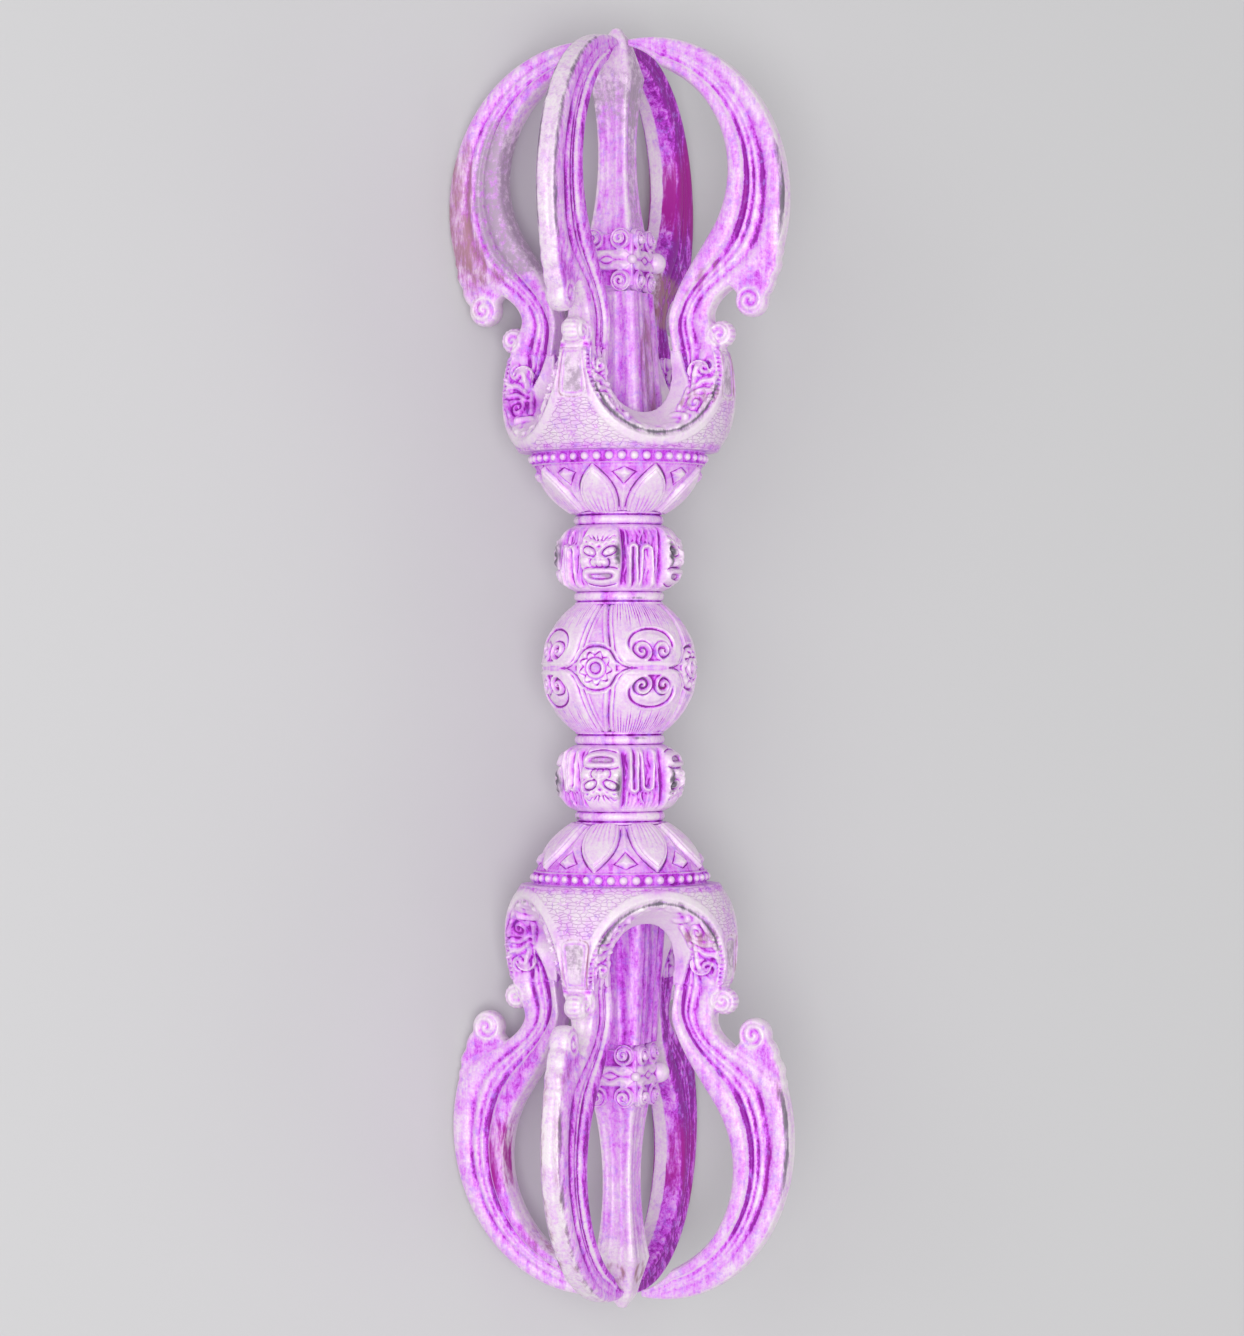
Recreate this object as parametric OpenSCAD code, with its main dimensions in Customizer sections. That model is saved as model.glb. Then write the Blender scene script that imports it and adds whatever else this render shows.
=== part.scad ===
// Five-pronged dorje vajra, lying on two outer prongs of each end.
// Every piece is drawn upright round the Z axis with the ball at the origin, then laid along X.

/* [Core rod] */
// Diameter of the tie rod through the grip
rod_d = 4; // [3:0.1:5]
// Depth that each rod end reaches into its central prong
rod_grip = 10; // [6:0.5:13]
// Gap all round between a piece and what it is fitted on
fit_gap = 0.05; // [0.03:0.01:0.1]

/* [Centre ball] */
// Diameter of the ball
ball_d = 21; // [19:0.5:23]
// Length of the ball between its two seats
ball_h = 17.6; // [16:0.2:18.4]
// Radius of one rosette
rosette_r = 2.4; // [1.8:0.1:2.8]
// Height of the ornament on the ball
ball_relief = 0.45; // [0.3:0.05:0.6]
// Radius of the arc round one scroll pair
scroll_r = 2.5; // [2:0.1:2.8]
// Turn of ball, masks and petals against the prongs
grip_turn = 4; // [0:1:20]

/* [Ring collars] */
// Diameter over the two beads of a collar
collar_d = 12.7; // [12:0.1:13.4]
// Height of one collar
collar_h = 1.9; // [1.5:0.1:2.6]
// Depth of the groove between the beads
collar_groove = 0.35; // [0.2:0.05:0.5]

/* [Mask drums] */
// Height of one drum
drum_h = 9.3; // [8.4:0.1:10.4]
// Diameter of the drum between the masks
drum_d = 14.8; // [13.6:0.2:16]
// Diameter over the masks
mask_d = 18.4; // [17.6:0.2:19.2]
// Width of one mask
mask_w = 6; // [5.4:0.1:6.6]
// Height of eyes, nose and lips on a mask
mask_relief = 0.5; // [0.3:0.05:0.7]

/* [Lotus cups] */
// Height of one cup
lotus_h = 6.4; // [5.6:0.1:7.2]
// Diameter of the cup at its foot
lotus_foot_d = 12.2; // [11.8:0.1:13]
// Diameter of the cup at its rim
lotus_rim_d = 23.6; // [22.8:0.2:24.4]
// Number of large petals
petal_count = 8; // [6:1:10]
// Width of one large petal
petal_w = 5.4; // [4.4:0.1:5.6]
// Height of the petals on the cup
petal_relief = 0.5; // [0.3:0.05:0.7]

/* [Pearl rings] */
// Height of one pearl ring
pearl_h = 1.9; // [1.6:0.1:2.4]
// Diameter of the ring without its pearls
pearl_ring_d = 24.2; // [23.6:0.2:25]
// Diameter of one pearl
pearl_d = 1.3; // [1.1:0.05:1.55]
// Number of pearls
pearl_count = 44; // [30:1:46]

/* [Bulbs] */
// Diameter of the bulb
bulb_d = 33.4; // [32:0.2:35]
// Height of the widest place of the bulb above the pearl ring
bulb_mid = 9.2; // [8.4:0.1:10]
// Height of the horns above the pearl ring
horn_h = 14; // [13.6:0.1:14.6]
// Diameter of the spigot inside the pearl ring
spigot_d = 22.6; // [21.6:0.2:23]
// Diameter of the hollow round the central prong
hollow_d = 18; // [17:0.2:19]
// Height of the floor of the hollow above the pearl ring
floor_h = 5.1; // [4.6:0.1:5.6]
// Height of the window axis above the pearl ring
window_mid = 13.3; // [12.6:0.1:14]
// Distance of the point of the window cone from the axis
window_start = 2.6; // [2.2:0.1:3]
// Half angle of the window cone
window_angle = 42; // [40:0.5:44]
// Height of the axis of the sill's flatter cone above the pearl ring
sill_mid = 10.8; // [10.4:0.1:11.2]
// Distance of the point of the sill's cone behind the axis
sill_back = 2.3; // [2:0.1:2.6]
// Half angle of the sill's cone
sill_angle = 26; // [25:0.5:27]
// Width of the ledge along the window rim
rim_ledge = 0.8; // [0.5:0.1:1.2]
// Depth of the ledge under the skin of the bulb
rim_depth = 0.6; // [0.4:0.1:0.9]
// Height of the tongue panels and scrolls on the horns
horn_relief = 0.4; // [0.3:0.05:0.6]
// Width of a tongue panel at its top
tongue_top = 2.6; // [2.2:0.1:3]
// Width of a tongue panel at its foot
tongue_foot = 4.8; // [4:0.1:5]
// Radius of the scroll on each flank of a horn
horn_scroll_r = 1.6; // [1.3:0.1:1.7]

/* [Outer prongs] */
// Greatest distance of the outer edge from the axis
prong_reach = 25.5; // [24.6:0.1:26.2]
// Height of the widest place above the horn
belly_h = 20.8; // [20.2:0.1:21]
// Depth of the blade at its widest place
belly_depth = 8.2; // [7.4:0.1:8.8]
// Half width of the oval of the outer edge
outer_bend = 21.1; // [20.6:0.1:21.6]
// Half height of the oval of the outer edge
outer_rise = 23.2; // [22.8:0.1:23.4]
// Half width of the oval of the inner edge
inner_bend = 16.7; // [16.2:0.1:17.2]
// Half height of the oval of the inner edge
inner_rise = 16.3; // [16:0.1:16.6]
// Height of the inner oval's middle above the widest place
inner_lift = 4.1; // [3.8:0.1:4.4]
// Width of the blade halfway between its edges
prong_w = 4.2; // [3.6:0.1:4.4]
// How much wider the blade is at its inner edge than at its outer edge
prong_wedge = 1.7; // [1:0.1:2]
// Width of the blade at its tip
prong_tip_w = 2.2; // [1.6:0.1:2.4]
// Share of the depth that the tip loses as it runs to a point
tip_close = 0.65; // [0.5:0.05:0.75]
// Height of the neck above the horn
neck_h = 5.2; // [4.8:0.1:5.6]
// Depth of the neck
neck_depth = 5.6; // [5:0.1:6.2]
// Distance of the neck's middle from the axis
neck_r = 11.5; // [11.2:0.1:11.8]
// Depth of the root on the horn
root_depth = 6.8; // [6.2:0.1:7]
// Width of the root on the horn
root_w = 4.7; // [4.4:0.1:5]
// Distance of the root's middle from the axis
root_r = 12.45; // [12.3:0.05:12.6]
// Radius of the trunk curl on the root
trunk_r = 1.9; // [1.6:0.1:2.1]
// Radius of the spur's curl
spur_r = 2.3; // [2:0.1:2.5]
// Distance of the curl's middle inside the blade's reach
spur_inset = 5.3; // [5:0.1:5.6]
// Height of the curl's middle above the horn
spur_h = 6.6; // [6.4:0.1:7]
// Width of the spur
spur_w = 3; // [2.4:0.1:3.4]
// Outward lean of the one prong that stands free of the point
free_lean = 1.3; // [0:0.1:2]
// Width of the tang
tang_w = 2.4; // [2:0.1:2.6]
// Depth of the tang along the radius
tang_depth = 3.6; // [3:0.1:3.8]
// Length of the tang in its socket
tang_h = 5.5; // [4:0.5:6]

/* [Central prongs] */
// Height of the fluted column
column_h = 17.2; // [16:0.2:18.4]
// Side of the column at its foot
column_foot = 10.4; // [9.6:0.1:11]
// Side of the column at its top
column_top = 8.2; // [7.6:0.1:8.8]
// Depth of the panels in the column's faces
column_panel = 0.4; // [0.2:0.05:0.6]
// Side of the shaft under the cloud collar and at its head
head_side = 6.3; // [6:0.1:6.6]
// Side of the shaft at its waist
waist_side = 4.4; // [3.8:0.1:5]
// Length from the cloud collar to the head
shaft_h = 21.4; // [21:0.1:22]
// Length of the point above the head
point_h = 7; // [6.6:0.1:7.4]
// Height of the break in the flanks of the point above the head
break_h = 5.4; // [5.2:0.1:5.8]
// Side of the point at the break
break_side = 3.4; // [3:0.1:3.6]
// Side of the blunt end of the point
point_side = 0.9; // [0.5:0.1:1.2]

/* [Cloud collars] */
// Height of one cloud collar
cloud_h = 8.8; // [8:0.1:9.2]
// Side of the sleeve
cloud_side = 7.6; // [7.2:0.1:8.2]
// Radius of one volute
volute_r = 1.45; // [1.1:0.05:1.6]
// Height of the volutes on the sleeve
volute_relief = 0.8; // [0.5:0.1:1]
// Radius of one corner knob
knob_r = 1.5; // [1.1:0.1:1.7]

/* [Hidden] */
$fn = 72;

pale = [0.93, 0.86, 0.95];
lilac = [0.87, 0.70, 0.93];
magenta = [0.80, 0.45, 0.87];
iron = [0.42, 0.40, 0.41];

// Stations along the axis, counted from the middle of the ball
z_ball = ball_h / 2;
z_drum = z_ball + collar_h;
z_ring = z_drum + drum_h;
z_lotus = z_ring + collar_h;
z_pearl = z_lotus + lotus_h;
z_bulb = z_pearl + pearl_h;
z_floor = z_bulb + floor_h;
z_horn = z_bulb + horn_h;
z_cloud = z_floor + column_h;
z_shaft = z_cloud + cloud_h;
z_head = z_cloud + shaft_h + cloud_h;
z_tip = z_head + point_h;

bore_d = rod_d + 2 * fit_gap;
quarter = 90;
eps = 0.01;

function lerp(a, b, t) = a + (b - a) * t;
function arc(c, r, from, to, n) =
    [for (i = [0:n]) c + r * [cos(lerp(from, to, i / n)), sin(lerp(from, to, i / n))]];
function bezier(a, b, c, d, t) =
    pow(1 - t, 3) * a + 3 * t * pow(1 - t, 2) * b + 3 * t * t * (1 - t) * c + pow(t, 3) * d;

function middle(section) =
    [for (k = [0:2]) let (v = [for (p = section) p[k]]) (min(v) + max(v)) / 2];

// Closed body through a list of sections with equal numbers of points
module loft(sections) {
    n = len(sections[0]);
    m = len(sections);
    ring = [for (s = sections) for (p = s) p];
    middles = [middle(sections[0]), middle(sections[m - 1])];
    sides = [for (j = [0:m - 2]) for (i = [0:n - 1]) for (h = [0, 1])
        let (a = j * n + i, b = j * n + (i + 1) % n)
        h == 0 ? [a, a + n, b + n] : [a, b + n, b]];
    first_cap = [for (i = [0:n - 1]) [m * n, i, (i + 1) % n]];
    last_cap = [for (i = [0:n - 1]) [m * n + 1, (m - 1) * n + (i + 1) % n, (m - 1) * n + i]];
    polyhedron(concat(ring, middles), concat(sides, first_cap, last_cap));
}

module bore(h) {
    translate([0, 0, -eps - h / 2])
        cylinder(d = bore_d, h = 2 * h);
}

module four(turn) {
    for (i = [0:3])
        rotate([0, 0, turn + quarter * i])
            children();
}

// Core rod
rod_half = z_floor + rod_grip;
rod_chamfer = rod_d / 8;

module core_rod() {
    color(iron)
        rotate_extrude()
            polygon([[0, -rod_half], [rod_d / 2 - rod_chamfer, -rod_half],
                [rod_d / 2, -rod_half + rod_chamfer], [rod_d / 2, rod_half - rod_chamfer],
                [rod_d / 2 - rod_chamfer, rod_half], [0, rod_half]]);
}

// Centre ball
scroll_lift = 20;
scroll_tube = 0.9 * ball_relief;
scroll_sweep = 250;
horn_curl_r = 0.4 * scroll_r;
horn_curl_side = 0.46 * scroll_r;
horn_curl_lift = 0.1 * scroll_r;
rosette_rise = ball_relief / 4;
rosette_ring_r = 0.62 * rosette_r;
rosette_tube = 0.8 * ball_relief;
rosette_eye_r = 1.6 * ball_relief;

module rosette() {
    rotate([0, quarter, 0])
        translate([0, 0, ball_d / 2]) {
            translate([0, 0, -rosette_r / 2])
                cylinder(r = rosette_r, h = rosette_r / 2 + rosette_rise);
            rotate_extrude()
                translate([rosette_ring_r, rosette_rise])
                    circle(r = rosette_tube);
            sphere(r = rosette_eye_r);
        }
}

module scroll_pair(way) {
    rotate([0, quarter - way * scroll_lift, 0])
        translate([0, 0, ball_d / 2 - ball_relief / 3]) {
            rotate([0, 0, (way > 0 ? 2 * quarter : 0) - scroll_sweep / 2])
                rotate_extrude(angle = scroll_sweep)
                    translate([scroll_r, 0])
                        circle(r = scroll_tube);
            for (side = [-1, 1])
                translate([way * horn_curl_lift, side * horn_curl_side, -horn_curl_r / 3])
                    sphere(r = horn_curl_r);
        }
}

module centre_ball() {
    color(pale)
        difference() {
            union() {
                intersection() {
                    sphere(d = ball_d);
                    cube([2 * ball_d, 2 * ball_d, ball_h], center = true);
                }
                four(grip_turn)
                    rosette();
                four(grip_turn + quarter / 2)
                    for (way = [-1, 1])
                        scroll_pair(way);
            }
            translate([0, 0, -z_ball])
                bore(ball_h);
        }
}

// Ring collars
bead_steps = 5;
bead_r = collar_h / 4 - eps;
collar_foot = collar_d / 2 - bead_r - collar_groove;

module collar() {
    color(lilac)
        difference() {
            rotate_extrude()
                polygon(concat([[0, 0], [collar_foot, 0]],
                    arc([collar_d / 2 - bead_r, collar_h / 4], bead_r, -quarter, quarter, bead_steps),
                    [[collar_d / 2 - bead_r - collar_groove / 2, collar_h / 2]],
                    arc([collar_d / 2 - bead_r, collar_h * 3 / 4], bead_r, -quarter, quarter, bead_steps),
                    [[collar_foot, collar_h], [0, collar_h]]));
            bore(collar_h);
        }
}

// Mask drums
drum_seat_d = collar_d - 2 * collar_groove;
drum_round = drum_h / 6;
mask_bend = 0.56 * drum_h;
mask_edge = 0.03 * drum_h;
mask_sweep = asin((drum_h / 2 - mask_edge) / mask_bend);
mask_steps = 8;
eye_r = mask_w / 7;
eye_side = 0.23 * mask_w;
eye_z = 0.62 * drum_h;
nose_z = 0.46 * drum_h;
brow_z = 0.78 * drum_h;
lip_z = 0.26 * drum_h;
lip_w = 0.36 * mask_w;
lip_r = 0.11 * drum_h;
lip_wall = 0.4 * lip_r;
brow_r = 1.2 * eye_r;
lip_back = 3 * eye_r;

module lips(r, w) {
    circle(r = r + eps);
    for (side = [-1, 1])
        translate([0, side * w])
            circle(r = r);
    square([2 * r, 2 * w], center = true);
}

module mask() {
    intersection() {
        rotate_extrude()
            polygon(concat([[0, mask_edge]],
                arc([mask_d / 2 - mask_bend, drum_h / 2], mask_bend, -mask_sweep, mask_sweep, mask_steps),
                [[0, drum_h - mask_edge]]));
        translate([drum_d / 4, -mask_w / 2, 0])
            cube([mask_d, mask_w, drum_h]);
    }
    for (side = [-1, 1])
        translate([mask_d / 2 - eye_r + mask_relief / 2, side * eye_side, eye_z])
            sphere(r = eye_r);
    translate([mask_d / 2 - eye_r + mask_relief, 0, nose_z])
        sphere(r = eye_r);
    for (side = [-1, 1])
        translate([mask_d / 2 - eye_r, side * eye_side, brow_z])
            sphere(r = brow_r);
    translate([mask_d / 2 - lip_back, 0, lip_z])
        rotate([0, quarter, 0])
            linear_extrude(lip_back + mask_relief / 3)
                lips(lip_r, lip_w - lip_r);
}

module mask_drum() {
    color(pale)
        difference() {
            union() {
                rotate_extrude()
                    polygon([[0, 0], [drum_seat_d / 2, 0], [drum_d / 2, drum_round],
                        [drum_d / 2, drum_h - drum_round], [drum_seat_d / 2, drum_h], [0, drum_h]]);
                four(grip_turn)
                    mask();
            }
            four(grip_turn)
                translate([mask_d / 2 - mask_relief, 0, lip_z])
                    rotate([0, quarter, 0])
                        linear_extrude(mask_d)
                            lips(lip_r - lip_wall, lip_w - lip_r);
            bore(drum_h);
        }
}

// Lotus cups
lotus_mid = (pow(lotus_rim_d / 2, 2) + pow(lotus_h, 2) - pow(lotus_foot_d / 2, 2)) / (2 * lotus_h);
lotus_r = sqrt(pow(lotus_foot_d / 2, 2) + pow(lotus_mid, 2));
petal_l = 0.72 * lotus_h;
petal_bend = (pow(petal_l, 2) + pow(petal_w / 2, 2)) / petal_w;
petal_tilt = quarter + asin((lotus_mid - lotus_h / 2) / lotus_r);
leaf_share = 0.55;

module lotus_slab(h) {
    translate([0, 0, h / 2])
        cube([4 * lotus_r, 4 * lotus_r, h], center = true);
}

module petal_outline() {
    intersection_for (side = [-1, 1])
        translate([0, side * (petal_bend - petal_w / 2)])
            circle(r = petal_bend);
}

module petals(turn, share, shift, relief) {
    intersection() {
        translate([0, 0, lotus_mid])
            sphere(r = lotus_r + relief);
        lotus_slab(lotus_mid);
        for (i = [0:petal_count - 1])
            rotate([0, 0, turn + 360 / petal_count * i])
                translate([0, 0, lotus_mid])
                    rotate([0, petal_tilt, 0])
                        translate([shift, 0, lotus_r - petal_l / 3])
                            linear_extrude(petal_l)
                                scale(share)
                                    petal_outline();
    }
}

module lotus_cup() {
    color(pale)
        difference() {
            union() {
                intersection() {
                    translate([0, 0, lotus_mid])
                        sphere(r = lotus_r);
                    lotus_slab(lotus_h);
                }
                intersection() {
                    union() {
                        petals(grip_turn, 1, petal_l / 5, petal_relief);
                        petals(grip_turn + 180 / petal_count, leaf_share, -petal_l / 4, petal_relief / 2);
                    }
                    lotus_slab(lotus_h);
                }
            }
            bore(lotus_h);
        }
}

// Pearl rings
module pearl_ring() {
    color(pale)
        union() {
            difference() {
                cylinder(d = pearl_ring_d, h = pearl_h);
                translate([0, 0, -eps])
                    cylinder(d = spigot_d + 2 * fit_gap, h = pearl_h + 2 * eps);
            }
            for (i = [0:pearl_count - 1])
                rotate([0, 0, 360 / pearl_count * i])
                    translate([pearl_ring_d / 2 + pearl_d / 6, 0, pearl_h / 2])
                        sphere(d = pearl_d);
        }
}

// Bulbs, drawn from the seat on the lotus cup
bulb_r = bulb_d / 2;
window_in = bulb_r / 3;
window_out = 1.3 * bulb_r;
function window_r(along) = tan(window_angle) * (along - window_start);
function sill_r(along) = tan(sill_angle) * (along + sill_back);
tongue_h = 0.47 * horn_h;
tongue_root = 0.09 * bulb_d;
horn_scroll_z = pearl_h + horn_h - 2 * horn_scroll_r;
horn_scroll_h = root_w / 3 + horn_relief;
socket_wall = 3 * fit_gap;
tang_root = tang_depth / 4;

module at_bulb_mid() {
    translate([0, 0, pearl_h + bulb_mid])
        children();
}

module window_cone(height, r1, r2) {
    rotate([0, 0, quarter / 2])
        translate([window_in, 0, pearl_h + height])
            rotate([0, quarter, 0])
                cylinder(r1 = r1, r2 = r2, h = window_out - window_in);
}

module window_cut() {
    window_cone(window_mid, window_r(window_in), window_r(window_out));
    window_cone(sill_mid, sill_r(window_in), sill_r(window_out));
    difference() {
        window_cone(window_mid, window_r(window_in + rim_ledge), window_r(window_out + rim_ledge));
        at_bulb_mid()
            sphere(r = bulb_r - rim_depth);
    }
}

module tongue() {
    intersection() {
        translate([bulb_r - tongue_root, 0, pearl_h + horn_h - tongue_h - horn_relief])
            rotate([quarter, 0, quarter])
                linear_extrude(bulb_r)
                    polygon([[-tongue_foot / 2, 0], [tongue_foot / 2, 0],
                        [tongue_top / 2, tongue_h], [-tongue_top / 2, tongue_h]]);
        at_bulb_mid()
            sphere(r = bulb_r + horn_relief);
    }
}

module horn_scroll() {
    translate([root_r + horn_scroll_r / 2, tang_w / 2 + socket_wall, horn_scroll_z])
        rotate([-quarter, 0, 0]) {
            cylinder(r = horn_scroll_r, h = horn_scroll_h);
            cylinder(r = horn_scroll_r / 2, h = horn_scroll_h + horn_relief);
        }
}

module tang(gap) {
    translate([root_r - tang_depth / 2 - gap, -tang_w / 2 - gap, -tang_h - gap])
        cube([tang_depth + 2 * gap, tang_w + 2 * gap, tang_h + tang_root + 2 * gap]);
}

module bulb() {
    color(lilac)
        union() {
            difference() {
                union() {
                    cylinder(d = spigot_d, h = pearl_h + bulb_mid / 2);
                    intersection() {
                        at_bulb_mid()
                            sphere(r = bulb_r);
                        translate([-bulb_d, -bulb_d, pearl_h])
                            cube([2 * bulb_d, 2 * bulb_d, horn_h]);
                    }
                    four(0)
                        tongue();
                }
                four(0)
                    window_cut();
                translate([0, 0, pearl_h + floor_h])
                    cylinder(d = hollow_d, h = bulb_d);
                four(0)
                    translate([0, 0, pearl_h + horn_h])
                        tang(fit_gap);
                bore(pearl_h + floor_h);
            }
            four(0)
                for (side = [0, 1])
                    mirror([0, side, 0])
                        horn_scroll();
        }
}

// Central prongs, drawn from the floor of the hollow
panel_edge = 0.68;
panel_foot = 0.5;
waist_steps = 10;

function turned(p, a) = [p.x * cos(a) - p.y * sin(a), p.x * sin(a) + p.y * cos(a)];
function square_face(h, g) =
    [[h, -h], [h, -panel_edge * h], [h - g, -panel_foot * h], [h - g, panel_foot * h], [h, panel_edge * h]];
function square_section(z, side, panel) =
    [for (k = [0:3]) for (p = square_face(side / 2, panel)) concat(turned(p, quarter * k), z)];
function waist(t) = lerp(waist_side, head_side, pow(2 * t - 1, 2));

module central_prong() {
    color(magenta)
        difference() {
            loft(concat(
                [square_section(0, column_foot, column_panel),
                    square_section(column_h, column_top, column_panel),
                    square_section(column_h, head_side, 0),
                    square_section(column_h + cloud_h, head_side, 0)],
                [for (i = [1:waist_steps]) let (t = i / waist_steps)
                    square_section(column_h + cloud_h + t * shaft_h, waist(t), 0)],
                [square_section(z_head - z_floor + break_h, break_side, 0),
                    square_section(z_tip - z_floor, point_side, 0)]));
            translate([0, 0, -rod_grip])
                cylinder(d = bore_d, h = 2 * rod_grip + fit_gap);
        }
}

// Cloud collars
volute_side = 0.27 * cloud_side;
volute_root = volute_relief;
band_h = 0.3 * cloud_h;
band_side = cloud_side + volute_relief;
knob_out = cloud_side / 2 + knob_r / 6;

module volutes() {
    for (side = [-1, 1])
        for (z = [volute_r, cloud_h - volute_r])
            translate([cloud_side / 2 - volute_root, side * volute_side, z])
                rotate([0, quarter, 0]) {
                    cylinder(r = volute_r, h = volute_root + volute_relief / 2);
                    cylinder(r = volute_r / 2, h = volute_root + volute_relief);
                }
}

module cloud_collar() {
    color(pale)
        difference() {
            union() {
                translate([-cloud_side / 2, -cloud_side / 2, volute_r / 2])
                    cube([cloud_side, cloud_side, cloud_h - volute_r]);
                translate([-band_side / 2, -band_side / 2, (cloud_h - band_h) / 2])
                    cube([band_side, band_side, band_h]);
                four(0)
                    volutes();
                four(0)
                    translate([knob_out, knob_out, cloud_h / 2])
                        rotate([quarter / 2, 0, quarter / 2])
                            sphere(r = knob_r);
            }
            translate([-head_side / 2 - fit_gap, -head_side / 2 - fit_gap, -cloud_h])
                cube([head_side + 2 * fit_gap, head_side + 2 * fit_gap, 3 * cloud_h]);
        }
}

// Outer prongs, drawn from the top of the horn, with X along the radius
root_steps = 4;
neck_steps = 7;
blade_steps = 15;
outer_start = -16;
inner_start = -32;
outer_mid = [prong_reach - outer_bend, belly_h];
inner_mid = [prong_reach - belly_depth - inner_bend, belly_h + inner_lift];
outer_oval = [outer_bend, outer_rise];
inner_oval = [inner_bend, inner_rise];
tip_gap = 2 * fit_gap;
root_pull = neck_h / 3;
neck_pull = 4.4;
neck_lean = 75;
taper_start = 0.45;
point_start = 1 - 2 / blade_steps;
spur_mid = [prong_reach - spur_inset, spur_h];
trunk_mid = [root_r + root_depth / 2, trunk_r + 2 * tip_gap];
trunk_w = 0.8 * root_w;
curl_steps = 14;
curl_from = 15;
curl_to = -205;
curl_eye = 0.6;
curl_swell = 1.25;
lean_power = 4;

// Outline of one flank from outer to inner edge: share of the depth, share of the half width
flank = [[0, 0.752], [0.04, 0.83], [0.14, 1], [0.25, 0.98], [0.35, 0.74], [0.46, 0.96], [0.6, 0.68],
    [0.72, 1], [0.93, 1], [1, 0.85]];
// Knuckles on the back of the spur and its root in the blade, in radii of the curl
knuckles = [[1.89, 3.3], [1.98, 2.85], [1.8, 2.5], [1.86, 2.1], [1.72, 1.72], [1.46, 1.35],
    [1.46, 1], [1.22, 0.5]];
spur_root = [[-1.38, 0.95], [-0.5, 2.5], [0.9, 3.3]];

function on_oval(c, oval, a) = c + [oval.x * cos(a), oval.y * sin(a)];
function unit(v) = v / norm(v);
function along_oval(oval, a) = unit([-oval.x * sin(a), oval.y * cos(a)]);
function point_half(z) = let (h = z + z_horn - z_head)
    (h < break_h ? lerp(head_side, break_side, h / break_h) :
    lerp(break_side, point_side, (h - break_h) / (point_h - break_h))) / 2;
function end_angle(c, oval) = let (a = acos((point_half(c.y + oval.y) + tip_gap - c.x) / oval.x))
    acos((point_half(c.y + oval.y * sin(a)) + tip_gap - c.x) / oval.x);
function root_edge(foot, neck, t) = let (up = [cos(neck_lean), sin(neck_lean)])
    bezier(foot, foot + [0, root_pull], neck - root_pull * up, neck, t);
function neck_edge(neck, joint, ahead, t) = let (up = [cos(neck_lean), sin(neck_lean)])
    bezier(neck, neck + neck_pull * up, joint - neck_pull * ahead, joint, t);
function edge(c, oval, start, foot, neck, u) =
    u < -1 ? root_edge(foot, neck, u + 2) :
    u < 0 ? neck_edge(neck, on_oval(c, oval, start), along_oval(oval, start), u + 1) :
    on_oval(c, oval, lerp(start, end_angle(c, oval), u));
function blade_w(u) =
    u < -1 ? lerp(root_w, prong_w, u + 2) :
    u < taper_start ? prong_w :
    lerp(prong_w, prong_tip_w, pow((u - taper_start) / (1 - taper_start), 2));
function blade_wedge(u) = prong_wedge * blade_w(u) / prong_w * min(u + 2, 1);
function leant(p, lean) = p + [lean * pow(p.y / (belly_h + outer_rise), lean_power), 0];
function outer_edge(u) = edge(outer_mid, outer_oval, outer_start,
    [root_r + root_depth / 2, 0], [neck_r + neck_depth / 2, neck_h], u);
function hollow_edge(u) = edge(inner_mid, inner_oval, inner_start,
    [root_r - root_depth / 2, 0], [neck_r - neck_depth / 2, neck_h], u);
function inner_edge(u) =
    lerp(hollow_edge(u), outer_edge(u), tip_close * max(0, (u - point_start) / (1 - point_start)));
function blade_section(u, lean) =
    let (outer = leant(outer_edge(u), lean), inner = leant(inner_edge(u), lean), n = len(flank) - 1)
    [for (i = [0:2 * n + 1]) let (f = flank[i <= n ? i : 2 * n + 1 - i], p = lerp(outer, inner, f[0]),
        w = blade_w(u) + blade_wedge(u) * (f[0] - 1 / 2))
        [p.x, (i <= n ? 1 : -1) * f[1] * w / 2, p.y]];
blade_stations = concat([for (i = [0:root_steps - 1]) i / root_steps - 2],
    [for (i = [0:neck_steps - 1]) i / neck_steps - 1], [for (i = [0:blade_steps]) i / blade_steps]);

module curl(mid, r, w) {
    translate([mid.x, mid.y, 0]) {
        cylinder(r = r, h = w, center = true);
        cylinder(r = curl_eye * r, h = curl_swell * w, center = true);
    }
}

module spur() {
    linear_extrude(spur_w, center = true)
        polygon(concat([for (p = knuckles) spur_mid + spur_r * p],
            arc(spur_mid, spur_r, curl_from, curl_to, curl_steps),
            [for (p = spur_root) spur_mid + spur_r * p]));
    translate([spur_mid.x, spur_mid.y, 0])
        cylinder(r = curl_eye * spur_r, h = curl_swell * spur_w, center = true);
}

module prong(lean) {
    color(lilac)
        union() {
            loft([for (u = blade_stations) blade_section(u, lean)]);
            rotate([quarter, 0, 0]) {
                spur();
                curl(trunk_mid, trunk_r, trunk_w);
            }
            tang(0);
        }
}

// Laying down: the lowest corners of the prongs touch the ground
rest_h = max([for (u = blade_stations) for (p = blade_section(u, 0)) p.x + p.y]) / sqrt(2);

module laid() {
    translate([0, 0, rest_h])
        rotate([quarter, 0, quarter])
            rotate([0, 0, quarter / 2])
                children();
}

module upper(z) {
    laid()
        translate([0, 0, z])
            children();
}

module lower(z) {
    laid()
        mirror([0, 0, 1])
            translate([0, 0, z])
                children();
}

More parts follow.
